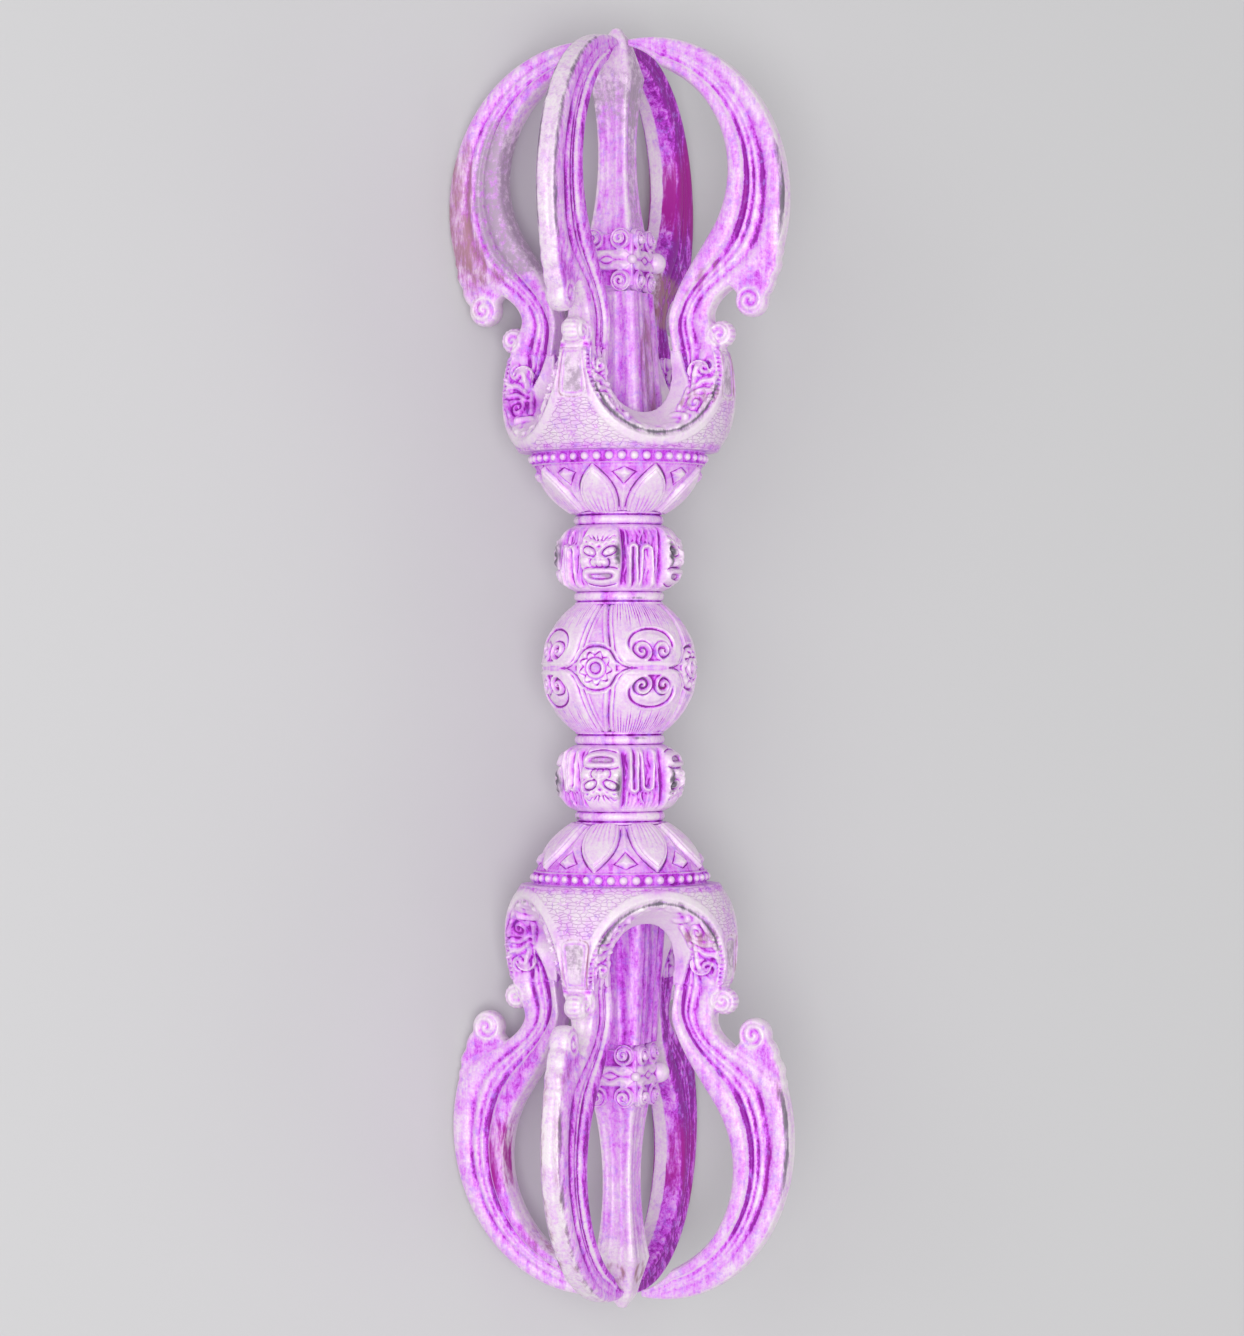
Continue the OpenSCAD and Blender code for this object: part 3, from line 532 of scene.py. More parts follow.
lean = lean * smooth(-0.01, 0.25, np.minimum(rise, lotus_h - rise))[:, None]
outline, steer, turn, z = turned_blank(np.column_stack((flare, rise)), lotus_cols, lean=lean)
share = z / lotus_h
girth = np.radians(np.append(flare, [1, 1]))[None, :]
to_petal = nearest(turn - GRIP_TURN, petal_step)
to_leaf = abs(nearest(turn - GRIP_TURN - petal_step / 2, petal_step)) * girth
in_petal = (np.interp(share, *petal_shape) - abs(to_petal)) * girth
in_petal = in_petal * np.clip(1.12 - 0.5 * share ** 3, 0.3, 1)
height = 0.6 * smooth(-0.05, 0.7, in_petal)
height += tooled(in_petal, (-0.3, 0, 0.19), (0.14, 0.32, 0.16), (-0.24, 0.6, 0.14))
veins = smooth(0.2, 0.95, cosd(to_petal * 96 * (1 - 0.4 * share)))
veins = veins * smooth(0.8, 1.2, in_petal) * smooth(0.62, 0.1, share)
height -= 0.08 * veins
kite = to_leaf / leaf_half + np.where(share > leaf_at, 1 / 0.1, 1 / 0.24) * abs(share - leaf_at)
leaf_ground = smooth(0.15, -0.15, in_petal)
leaf = 0.6 * smooth(1.0, 0.25, kite) - 0.2 * line(kite - 1.1, 0.12)
height += leaf_ground * (leaf + 0.25 * line(to_leaf, 0.3) * smooth(0.62, 0.4, share))
points, faces = lathe(outline, steer, height)
depth = sunk(points, faces, 16)
extra = 0.3 * leaf_ground * (1 - smooth(1.1, 0.6, kite)) * smooth(0.3, 0.9, share) + 0.16 * leaf_ground
extra += 0.35 * smooth(0.9, 1, share) + 0.3 * smooth(0.14, 0.0, share) + 0.3 * veins
# The deepest cuts of the lotus get painted shade in dark grey.
chase_both("lotus_cup", "grip_metal", grip_metal, points + (0, 0, lotus_z), faces,
           hollow=0.78 * wash(depth, 0.01, 0.14) + extra.ravel(), soot=deepest_shading(depth))

# Pearl rings: beaded wires bent to a ring and seated on the bulb's spigot against the lotus cup;
# the pearls are a little uneven, rubbed pale on top, with patina between them.
pearl_z, pearl_h, wire_r, ring_in, pearl_r, pearl_count = 28.3, 1.9, 12.0, 11.35, 0.62, 44
pearl_cols, pearl_rows = 22 * pearl_count, 26
outline, steer, turn, z = turned_blank(sleeve(wire_r, pearl_h, pearl_rows), pearl_cols, ring_in)
uneven = np.sin(np.round(turn / 360 * pearl_count) % pearl_count * 12.9898) * 0.5 + 0.5
along = np.radians(nearest(turn, 360 / pearl_count)) * (wire_r + 0.25)
size = pearl_r * (0.86 + 0.16 * uneven)
off_mid = z - pearl_h / 2 - 0.1 * (uneven - 0.5)
pearl = np.sqrt(np.clip(size ** 2 - along ** 2 - off_mid ** 2, 0, None))
rim_line = tooled(z, (0.22, 0.08, 0.14), (0.22, pearl_h - 0.08, 0.14))
points, faces = lathe(outline, steer, np.maximum(pearl + 0.1 * (pearl > 0), rim_line))
hollow = np.clip(0.7 - 1.5 * pearl, 0.0, 1) * smooth(-0.1, 0.35, np.minimum(z, pearl_h - z)) + 0.5 * rim_line
chase_both("pearl_ring", "grip_metal", grip_metal, points + (0, 0, pearl_z), faces, hollow=hollow)

# Bulbs: hollow cast calyxes with four U-shaped windows; the four horns between them carry makara
# heads in relief with a tongue panel outside, and the skin below is engraved with scales.
bulb_mid, bulb_r, horn_z, bulb_cell = 39.4, 16.7, 44.2, 0.19
window_z, window_start, window_slope = 43.5, 2.6, math.tan(math.radians(42))
root_out, root_depth, root_half = 15.85, 6.8, 2.35
flute_end, flute_mid = 38.9, 11.9
shoulder_h, shoulder_r, shoulder_out = 2.4, 1.3, 16.5
scale_long, scale_wide, scale_cut = 0.0005, 0.0011, 0.00004


def numbers_of(parts, field, each, kind=float):
    """One field of all points or faces of a mesh, in rows of that many numbers."""
    flat = np.empty(len(parts) * each, dtype=kind)
    parts.foreach_get(field, flat)
    return flat.reshape(-1, each)


def raised(mesh):
    """A solid's points set upright again in mm, and its faces."""
    x, y, z = (numbers_of(mesh.vertices, "co", 3) / MM).T
    mesh.calc_loop_triangles()
    upright = np.column_stack((DIAGONAL * (z - rest_h + y), DIAGONAL * (z - rest_h - y), x))
    return upright, numbers_of(mesh.loop_triangles, "vertices", 3, np.int32)


def even_skin(shells, cell):
    """Joins overlapping closed shells into one skin of even square cells."""
    mesh = bpy.data.meshes.new("blank")
    start, points, faces = 0, [], []
    for shell_points, shell_faces in shells:
        points += shell_points.tolist()
        faces += [[int(i) + start for i in face] for face in shell_faces]
        start += len(shell_points)
    mesh.from_pydata(points, [], faces)
    blank = new_object("blank", mesh)
    skin = blank.modifiers.new("skin", "REMESH")
    skin.mode = "VOXEL"
    skin.voxel_size = cell
    done = blank.evaluated_get(bpy.context.evaluated_depsgraph_get())
    result = done.to_mesh()
    points = numbers_of(result.vertices, "co", 3)
    cells = numbers_of(result.loops, "vertex_index", 1, np.int32).reshape(-1, 4)
    done.to_mesh_clear()
    bpy.data.objects.remove(blank)
    bpy.data.meshes.remove(mesh)
    return points, cells


def by_quarter(x, y, first=0):
    """The nearest of four directions, and how far points lie along it and beside it."""
    turn = np.degrees(np.arctan2(y, x))
    off = nearest(turn - first, 90)
    return turn - off, np.hypot(x, y) * cosd(off), np.hypot(x, y) * sind(off)


def stroke(x, z, knots):
    """Distance to a smooth line through a few points of a flank."""
    knots = np.array(knots, dtype=float)
    t = np.linspace(0, len(knots) - 1, 40)
    k = np.clip(t.astype(int), 0, len(knots) - 2)
    f = (t - k)[:, None]
    before, after = knots[np.clip(k - 1, 0, None)], knots[np.clip(k + 2, None, len(knots) - 1)]
    a, b = knots[k], knots[k + 1]
    path = 0.5 * (2 * a + (b - before) * f + (2 * before - 5 * a + 4 * b - after) * f ** 2
                  + (3 * a - before - 3 * b + after) * f ** 3)
    best = np.full(x.shape, 99.0)
    for px, pz in path:
        np.minimum(best, np.hypot(x - px, z - pz), out=best)
    return best


FLANK = np.array(((0, 0.75), (0.035, 0.84), (0.08, 0.96), (0.14, 1.0), (0.22, 0.98), (0.29, 0.88),
                  (0.345, 0.75), (0.395, 0.86), (0.435, 0.97), (0.46, 0.95), (0.49, 0.83), (0.515, 0.79),
                  (0.54, 0.86), (0.565, 0.95), (0.59, 0.82), (0.63, 0.64), (0.675, 0.7), (0.71, 0.9),
                  (0.74, 1.0), (0.82, 1.03), (0.9, 0.98), (0.96, 0.9), (1, 0.7)))
MANE = (((12.6, 38.9), (12.9, 41.2), (13.6, 43.4)), ((12.4, 38.4), (13.8, 39.6), (15.4, 39.9), (16.0, 40.8)),
        ((12.2, 37.6), (13.8, 38.4), (15.2, 38.3), (15.8, 38.9)), ((14.4, 35.6), (15.0, 36.6), (15.4, 37.4)),
        ((11.2, 36.0), (11.6, 37.4), (11.9, 38.6)), ((10.4, 35.0), (11.8, 34.9), (12.8, 34.6)))


def fluted(share, root):
    """Half width of a prong's flank from outer to inner edge; its flutes lie further in at the root."""
    moved = np.clip(0.9 * share - 0.06, 0.08, 1)
    return np.interp(share * (1 - root) + moved * root, FLANK[:, 0], FLANK[:, 1])


points, faces = even_skin([raised(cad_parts["upper_bulb"].data)], bulb_cell)
points = eased(points, faces, 1)
facing = normals_of(points, faces)
from_mid = points - (0, 0, bulb_mid)
rho = np.linalg.norm(from_mid, axis=1)
looks_out = (facing * from_mid).sum(1) / rho
on_skin = (looks_out > 0.86) & (abs(rho - bulb_r) < 0.16)
points[on_skin] = (0, 0, bulb_mid) + from_mid[on_skin] / rho[on_skin, None] * bulb_r
out_x, out_y, up = points.T
radius = np.hypot(out_x, out_y)
horn_turn, reach, aside = by_quarter(out_x, out_y)
window_turn, deep_in, across = by_quarter(out_x, out_y, 45)
beside = abs(aside)
to_cone = np.hypot(across, up - window_z) - window_slope * (deep_in - window_start)
skin = smooth(0.35, 0.1, abs(rho - bulb_r)) * smooth(0.75, 0.9, looks_out)
side_way = abs(cosd(horn_turn) * facing[:, 1] - sind(horn_turn) * facing[:, 0])
sideways = smooth(0.45, 0.7, side_way) * (1 - skin)
flank = sideways * smooth(8.6, 9.2, reach) * smooth(33, 34.5, up)

narrow = np.clip((up - flute_end) / (horn_z - flute_end), 0.12, 1)
along_root = (root_out - flute_mid - (reach - flute_mid) / narrow) / root_depth
flutes = (1 - fluted(np.clip(along_root, 0.1, 0.97), 1.0)).clip(0) * smooth(flute_end, flute_end + 1.6, up)
relief = -flank * root_half * flutes
overlap = np.clip(beside - root_half, 0, None) * smooth(horn_z - 2.4, horn_z - 0.2, up)
relief -= sideways * smooth(7.6, 8.0, reach) * overlap
sill = smooth(0.6, 0.25, abs(to_cone)) * smooth(40.5, 37, up) * (1 - skin)
lumps = np.sin(across * 2.1 + 1.3) * np.sin(deep_in * 2.7)
lumps += 0.6 * np.sin(across * 4.3) * np.cos(deep_in * 3.9)
relief += 0.12 * sill * lumps
on_root = smooth(0.0, 0.14, along_root) * smooth(40.0, 41.2, up)
carve = flank * (1 - on_root) * smooth(horn_z, horn_z - 0.9, up)
carve = carve * smooth(11.6, 12.6, reach + 0.25 * (42 - up))
relief += 0.3 * spiral(reach - 14.3, up - 41.6, 1.5, 0.95) * carve
relief += 0.26 * spiral(13.4 - reach, up - 36.6, 1.25, 0.9) * carve
for knots in MANE:
    relief += carve * tooled(stroke(reach, up, knots), (0.38, 0, 0.27), (-0.12, 0.48, 0.16))
comb = line(reach - 16.0 + 0.03 * (up - 41) ** 2, 0.4) * (0.5 + 0.5 * np.cos((up - 37) * 2 * np.pi / 0.62))
relief += 0.42 * comb * flank * smooth(36.4, 37.2, up) * smooth(43.8, 43.4, up)
panel_side = np.interp(up, [37.4, 38.2, 43.8], [1.2, 1.5, 1.0]) - beside
panel = np.minimum(panel_side, np.minimum(up - 37.7 - 0.12 * aside ** 2, 43.4 - up))
front = smooth(16.0, 16.4, rho) * smooth(3.4, 2.6, beside) * smooth(0.3, 0.6, reach / rho)
relief += front * tooled(panel, (-0.06, 0, 0.14), (0.04, -0.3, 0.2), (-0.06, -0.6, 0.12))
rim = to_cone - 0.72
relief += skin * 0.12 * smooth(1.9, 1.6, rim) * smooth(0, 0.2, rim)
points += facing * relief[:, None]
shoulder = np.clip((up - horn_z + shoulder_h) / shoulder_h, 0, 1)
overhang = np.clip(reach - shoulder_out + shoulder_r * (1 - np.sqrt(1 - shoulder ** 2)), 0, None)
points[:, 0] -= overhang * cosd(horn_turn)
points[:, 1] -= overhang * sind(horn_turn)
depth = sunk(points, faces)

scales = skin * smooth(1.5, 1.9, rim) * smooth(39.2, 37.0, up) * smooth(0.75, 1.0, -panel)
horn = np.round(horn_turn / 90) % 4
joint = smooth(horn_z - 0.9, horn_z - 0.3, up)
side_skin = np.maximum(flank, joint * smooth(1.2, 1.6, beside) * smooth(8.4, 9.0, reach))
hollow = 0.52 * wash(depth, 0.012, 0.16) * (1 - joint) + 0.18 * carve
hollow += side_skin * (0.25 * smooth(flute_end, 42, up) + (0.3 + 0.3 * joint) * smooth(0.06, 0.3, flutes))
hollow += 0.16 * sill * (0.6 - 0.5 * lumps) + front * (0.1 + 0.3 * line(panel, 0.12))
hollow += 0.4 * flank * (horn == 3) * line(up - 36.8, 1.8)
looks_in = -(facing[:, 0] * out_x + facing[:, 1] * out_y) / radius
hollow += 0.5 * smooth(9.6, 8.9, radius) * smooth(0.4, 0.9, looks_in)
hollow += 0.3 * smooth(31.4, 30.6, up) + 0.1 * skin * smooth(32, 38, up)
# A dark grey line painted along the window rims, strongest on the upward window: it stands for the glint on
# the rim edge, painted as a dark line.
main_window = np.where(np.round((window_turn - 45) / 90) % 4 == 0, 1.0, 0.3)
soot = main_window * smooth(41, 38, up) * line(to_cone - 0.42, 0.28)
soot = soot * smooth(15.3, 15.9, rho) * smooth(17.2, 16.8, rho)
grey = 0.2 + 0.55 * smooth(-0.05, 0.4, panel) * smooth(42.8, 39.4, up)
grey = grey * front * smooth(37.0, 37.6, up)
rust = np.where(horn == 1, 0.4, 0.12) * carve * line(up - 37.4, 1.6) + 0.5 * front * line(panel + 0.6, 0.14)
bulb_metal = rubbed_cast("bulb_metal", 0.1, 0.15)
tree = bulb_metal.node_tree
place = tree.nodes["Group"]
where = add_node(tree, "Mapping", Vector=add_node(tree, "TexCoord").outputs["Object"],
                 Scale=(1 / scale_long, 1 / scale_wide, 1 / scale_wide))
net = add_node(tree, "TexVoronoi", Vector=where.outputs["Vector"], Scale=1.0, Randomness=0.75)
net.feature = "DISTANCE_TO_EDGE"
cut_line = spread(tree, net.outputs["Distance"], 0.0, 0.1, 1, 0)
cut_line = maths(tree, "MULTIPLY", cut_line, per_point(tree, "scales"))
smooth_hollow = place.inputs["Hollow"].links[0].from_socket
dress(tree, place, Hollow=maths(tree, "ADD", smooth_hollow, maths(tree, "MULTIPLY", cut_line, 0.22)))
cut_height = maths(tree, "SUBTRACT", place.outputs["Height"], maths(tree, "MULTIPLY", cut_line, 1.6))
bump(tree, tree.nodes["Principled BSDF"], cut_height, scale_cut)
chase_both("bulb", "bulb_metal", bulb_metal, points, faces,
           hollow=hollow, soot=soot, grey=grey, rust=rust, scales=scales)

# Outer prongs: crescent blades cast with their fluted flanks, hooked spurs and curled trunks, each
# held by a tang in its horn; flutes keep magenta patina, edges and bands are rubbed pale.
reach_max, belly_h, belly_depth = 25.5, 20.8, 8.2
outer_oval, inner_oval, inner_lift = np.array((21.1, 23.2)), np.array((16.7, 16.3)), 4.1
outer_mid = np.array((reach_max - outer_oval[0], belly_h))
inner_mid = np.array((reach_max - belly_depth - inner_oval[0], belly_h + inner_lift))
outer_start, outer_foot, outer_neck = -16, np.array((15.85, -0.35)), np.array((14.3, 5.2))
inner_start, inner_foot, inner_neck = -32, np.array((9.05, -0.35)), np.array((8.7, 5.2))
neck_up = circle(75)[0]
root_pull, throat_pull = 1.73, 4.4
prong_w, prong_wedge, prong_tip_w, root_w = 4.2, 1.7, 2.2, 4.7
outer_edge_w, inner_edge_w, roof_h, crown_h, crown_cut, set_back = 0.75, 0.74, 0.36, 0.1, 0.26, 0.06
free_prong, free_lean, prong_h = "lower_prong_2", 1.3, 44
tip_close, point_start, tip_gap = 0.65, 0.867, 0.12
spur_mid, spur_r, spur_w, spur_bevel = np.array((20.2, 6.6)), 2.3, 2.9, 0.5
trunk_mid, trunk_r, trunk_w, trunk_bevel = np.array((15.7, 2.1)), 1.85, 2.8, 0.6
head_above, head_side, break_side, break_h = 38.5, 6.3, 3.4, 5.4
prong_cell, flank_steps = 0.17, 60


def bezier(a, b, c, d, t):
    """A curve from a to d, pulled towards b and c."""
    t = t[:, None]
    return (1 - t) ** 3 * a + 3 * t * (1 - t) ** 2 * b + 3 * t * t * (1 - t) * c + t ** 3 * d


def prong_edge(mid, oval, start, foot, neck, u):
    """One edge of a prong: its root below -1, its neck below 0, then its oval up to the tip."""
    end = 90
    for _ in range(3):
        top = mid[1] + oval[1] * sind(end) - head_above
        head_half = (head_side + (break_side - head_side) * top / break_h) / 2
        end = np.degrees(np.arccos((head_half + tip_gap - mid[0]) / oval[0]))
    joint, ahead = mid + oval * circle(start)[0], oval * circle(start + 90)[0]
    throat_in, throat_out = throat_pull * neck_up, throat_pull * ahead / np.linalg.norm(ahead)
    blade = mid + oval * circle(start + (end - start) * np.clip(u, 0, 1))
    root = bezier(foot, foot + (0, root_pull), neck - root_pull * neck_up, neck, np.clip(u + 2, 0, 1))
    throat = bezier(neck, neck + throat_in, joint - throat_out, joint, np.clip(u + 1, 0, 1))
    return np.where(u[:, None] < -1, root, np.where(u[:, None] < 0, throat, blade))


def strips(rows, cols):
    """Faces of rings of points, each joined to the next."""
    i, j = np.meshgrid(np.arange(rows - 1), np.arange(cols), indexing="ij")
    j2 = (j + 1) % cols
    faces = np.stack((i * cols + j, i * cols + j2, (i + 1) * cols + j2, (i + 1) * cols + j), -1)
    return faces.reshape(-1, 4)


def stopped(layers):
    """Points and faces of a row of rings, closed at both ends."""
    rows, cols = layers.shape[:2]
    ends = [list(range(cols))[::-1], list(range((rows - 1) * cols, rows * cols))]
    return layers.reshape(-1, 3), strips(rows, cols).tolist() + ends


u = np.concatenate((np.linspace(-2, -1, 26)[:-1], np.linspace(-1, 0, 36)[:-1], np.linspace(0, 1, 150)))
outer = prong_edge(outer_mid, outer_oval, outer_start, outer_foot, outer_neck, u)
inner = prong_edge(inner_mid, inner_oval, inner_start, inner_foot, inner_neck, u)
inner += (outer - inner) * tip_close * np.clip((u - point_start) / (1 - point_start), 0, 1)[:, None]
half = np.where(u < -1, root_w + (prong_w - root_w) * (u + 2),
                prong_w + (prong_tip_w - prong_w) * np.clip((u - 0.45) / 0.55, 0, 1) ** 2) / 2
share = np.linspace(0, 1, flank_steps)
wave = fluted(share[None, :], smooth(-0.5, -1.7, u)[:, None])
wave = (np.roll(wave, 1, 1) + 2 * wave + np.roll(wave, -1, 1)) / 4
wave[:, 0], wave[:, -1] = outer_edge_w, inner_edge_w
outer_face = np.linspace(-1, 1, 13)[1:-1]
inner_face = np.linspace(1, -1, 11)[1:-1]
shares = np.concatenate((share, np.ones_like(inner_face), share[::-1], np.zeros_like(outer_face)))
plain = np.ones((len(u), 1))
sides = np.hstack((wave, inner_edge_w * inner_face * plain,
                   -wave[:, ::-1], outer_edge_w * outer_face * plain))
sides = sides * (1 + prong_wedge / prong_w * np.minimum(u + 2, 1)[:, None] * (shares - 0.5))
crown = crown_h * np.cos(outer_face * np.pi / 2) - crown_cut * line(outer_face - 0.3, 0.12)
swell = np.concatenate((0 * share, roof_h * (1 - abs(inner_face)), 0 * share, -crown))
flat = inner - outer
flat_way = (flat / np.linalg.norm(flat, axis=1)[:, None])[:, None]
plan = outer[:, None] + set_back * flat_way + flat[:, None] * shares[None, :, None]
plan = plan + smooth(0.98, 0.8, u)[:, None, None] * flat_way * swell[None, :, None]
blade = np.stack((plan[..., 0], half[:, None] * sides, plan[..., 1]), -1)


def plate(outline, thick, bevel):
    """A flat shape in the plane of the blade, with rounded edges."""
    ahead = np.roll(outline, -1, 0) - np.roll(outline, 1, 0)
    inward = np.column_stack((-ahead[:, 1], ahead[:, 0]))
    inward = inward / np.linalg.norm(inward, axis=1)[:, None]
    layers = []
    for y, inset in ((-0.5, 1.0), (-0.36, 0.3), (-0.15, 0), (0.15, 0), (0.36, 0.3), (0.5, 1.0)):
        flat_x, flat_z = (outline + bevel * inset * inward).T
        layers.append(np.column_stack((flat_x, np.full(len(outline), y * thick), flat_z)))
    return stopped(np.array(layers))


knuckles = ((1.89, 3.3), (1.98, 2.85), (1.8, 2.5), (1.86, 2.1), (1.72, 1.72), (1.46, 1.35), (1.46, 1.0),
            (1.22, 0.5))
hook = circle(np.linspace(15, -205, 24))
spur_root = ((-1.38, 0.95), (-0.5, 2.5), (0.9, 3.3))
spur = spur_mid + spur_r * np.vstack((knuckles, hook, spur_root))[::-1]
trunk_end = trunk_mid + trunk_r * circle(np.linspace(0, 360, 40, endpoint=False))
shells = [stopped(blade), plate(spur, spur_w, spur_bevel), plate(trunk_end, trunk_w, trunk_bevel)]
points, faces = even_skin(shells, prong_cell)
points = eased(points, faces, 2)
facing = normals_of(points, faces)
blade_map = kdtree.KDTree(len(u) * flank_steps)
grid = outer[:, None] + flat[:, None] * share[None, :, None]
for k, (px, pz) in enumerate(grid.reshape(-1, 2)):
    blade_map.insert((px, 0, pz), k)
blade_map.balance()
found = np.array([blade_map.find((p[0], 0, p[2]))[1:] for p in points])
near, off = found[:, 0].astype(int), found[:, 1]
u_of, f_of = u[near // flank_steps], share[near % flank_steps]
x, y, z = points.T
flatness = smooth(0.5, 0.8, abs(facing[:, 1]))
spur_to = np.hypot(x - spur_mid[0], z - spur_mid[1])
trunk_to = np.hypot(x - trunk_mid[0], z - trunk_mid[1])
curl = spiral(spur_mid[0] - x, spur_mid[1] - z, 2.0, 1.25, 0.3) * smooth(2.1, 1.8, spur_to)
on_trunk = smooth(2.0, 1.6, trunk_to)
trunk = spiral(x - trunk_mid[0], z - trunk_mid[1], 1.75, 1.0, 0.1) * on_trunk
rib = np.cos(np.arctan2(z - trunk_mid[1], x - trunk_mid[0]) * 14)
on_rim = smooth(1.4, 1.65, trunk_to) * smooth(2.2, 1.95, trunk_to) * (1 - flatness)
relief = flatness * (0.18 * curl + 0.15 * trunk) + 0.04 * rib * on_rim
points = points + facing * relief[:, None]
depth = sunk(points, faces)

seam_side = smooth(0.9, 0.4, z) * smooth(1.2, 1.6, abs(y))
on_flank = np.maximum(flatness, seam_side) * (1 - on_trunk)
body = on_flank * smooth(0.4, 0.1, off)
root_share = smooth(-0.5, -1.7, u_of)
aged = np.maximum(smooth(0.85, 0.3, u_of), 0.25)
flute_wash = smooth(0.97, 0.66, fluted(np.clip(f_of, 0.14, 0.94), root_share)) * body
mid_band = smooth(0.71, 0.77, f_of) * smooth(1.0, 0.9, f_of) * body * (1 - root_share)
spur_part = on_flank * smooth(0.1, 0.5, off)
inner_roof = smooth(0.8, 0.95, f_of) * (1 - flatness) * smooth(-0.4, 0.0, u_of)
above_joint = smooth(0.3, 0.9, z)
hollow = 0.3 * wash(depth, 0.0, 0.16, 0.6) * aged * above_joint + 0.18 * on_flank
hollow += (0.12 + 0.14 * aged + 0.34 * root_share) * flute_wash + 0.1 * mid_band
hollow += 0.18 * spur_part * smooth(1.8, 2.6, spur_to) - 0.12 * on_flank * smooth(2.2, 1.8, spur_to)
hollow += 0.1 * on_trunk * flatness + 0.12 * on_rim * (1 - rib)
prong_metal = rubbed_cast("prong_metal", 0.15, 0.3)
# How each prong has aged: patina of the flutes and how far it runs along the blade, patina of the inner
# band and of the whole flank, shade on the outer edge and how far it runs; then stain, film and rust as
# strength, span along the blade from root to tip and span across it, outside to in.
CLEAN = (0, 0, 1, 0, 1)
LOOKS = {
    "upper_prong_1": dict(flutes=0.55, run=0.5, band=0.2, flank=0.2, edge=0.7, edge_run=0.9,
                          film=(0.16, -1, 1, -1, 0.1)),
    "upper_prong_2": dict(flutes=0.75, run=0.3, band=-0.06, flank=0.12, edge=0.9, edge_run=0.3,
                          stain=(0.3, 0.0, 0.26, 0.58, 0.7), rust=(0.25, -0.9, -0.3, 0.5, 0.8)),
    "upper_prong_3": dict(flutes=0.3, run=0.6, band=0.1, flank=0.7, stain=(1.1, 0.08, 0.4, -0.1, 1.1),
                          rust=(0.7, -1.2, -0.4, 0.2, 1.1)),
    "upper_prong_4": dict(flutes=0.18, run=0.3, band=0.1, flank=0.12, film=(0.85, -0.45, 0.5, 0.5, 1.1),
                          rust=(0.65, -0.5, 0.35, -0.1, 0.45)),
    "lower_prong_1": dict(flutes=0.5, run=0.6, band=0.3, flank=0.2, edge=0.5, edge_run=0.9,
                          film=(0.1, -1, 1, -1, 0.08), rust=(0.45, -0.4, 1.1, -1, 0.05)),
    "lower_prong_2": dict(flutes=0.62, run=0.5, band=-0.06, flank=0.1, edge=0.8, edge_run=0.3,
                          stain=(0.4, 0.1, 0.4, 0.28, 0.4), rust=(0.4, -0.3, 0.1, 0, 0.1)),
    "lower_prong_3": dict(flutes=0.3, run=0.6, band=0.1, flank=0.6, stain=(0.6, 0.17, 0.5, -0.1, 1.1)),
    "lower_prong_4": dict(flutes=0.22, run=0.55, band=0.2, flank=0.08, stain=(0.8, 0.12, 0.38, 0.64, 1.1),
                          rust=(0.3, 0.6, 0.85, 0.6, 1.1)),
}


def span(strength, u0, u1, f0, f1):
    """A stain of that strength between two places along and across the blade."""
    along = smooth(u0 - 0.1, u0 + 0.1, u_of) * smooth(u1 + 0.1, u1 - 0.1, u_of)
    return strength * along * smooth(f0 - 0.08, f0 + 0.08, f_of) * smooth(f1 + 0.08, f1 - 0.08, f_of)


strip_edge = 1 - smooth(0.1, 0.04, f_of) * line(y, 0.9)
# Painted shade in dark grey along both sides of each prong's outer edge strip, as strong and as far along the
# blade as each prong's look says.
outer_corner = line(f_of - 0.03, 0.05) * smooth(-0.1, 0.06, u_of) * smooth(0.9, 1.3, abs(y))
for node, look in LOOKS.items():
    end, number = node.split("_prong_")
    a = 90 * (int(number) - 1)
    px = points[:, 0] + (free_lean * (z / prong_h) ** 4 if node == free_prong else 0)
    placed = np.column_stack((px * cosd(a) - points[:, 1] * sind(a), px * sind(a) + points[:, 1] * cosd(a),
                              points[:, 2] + horn_z))
    inner_half = inner_roof * smooth(-0.15, 0.15, y if number == "4" else -y)
    fresh = smooth(-0.16, 0.04, u_of) * smooth(look["run"] + 0.12, look["run"] - 0.12, u_of)
    worn = hollow + look["flutes"] * flute_wash * fresh + look["band"] * mid_band
    worn = worn + look["flank"] * (on_flank + inner_half)
    edge_run = look.get("edge_run", 1)
    edge_shade = look.get("edge", 0) * outer_corner * smooth(edge_run + 0.1, edge_run - 0.1, u_of)
    chase(node, "prong_metal", prong_metal, placed, faces, ENDS[end], hollow=worn, soot=edge_shade,
          deep=span(*look.get("stain", CLEAN)) * np.maximum(on_flank, inner_half),
          grey=span(*look.get("film", CLEAN)), rust=span(*look.get("rust", CLEAN)) * strip_edge)

# Central prongs: square cast spikes with a panelled column below, a waist and a swelling head;
# they take the rod's ends and clamp the grip, and keep the most patina of all.
floor_z, column_h, cloud_h, shaft_h, point_h = 35.3, 17.2, 8.8, 21.4, 7.0
column_foot, column_top, waist_side = 10.4, 8.2, 4.4
point_shape = [0, break_h, 6.4, 6.9, point_h], [head_side, break_side, 1.8, 1.1, 0.5]
shaft_panel, corner_steps = 0.3, 160
shaft_z = column_h + cloud_h
head_z = shaft_z + shaft_h


def lid(first, count):
    """Closes a ring of points with strips straight across it."""
    near = first + np.arange(count // 2)
    far = first + count - 1 - np.arange(count // 2)
    return np.stack((near[:-1], near[1:], far[1:], far[:-1]), -1)


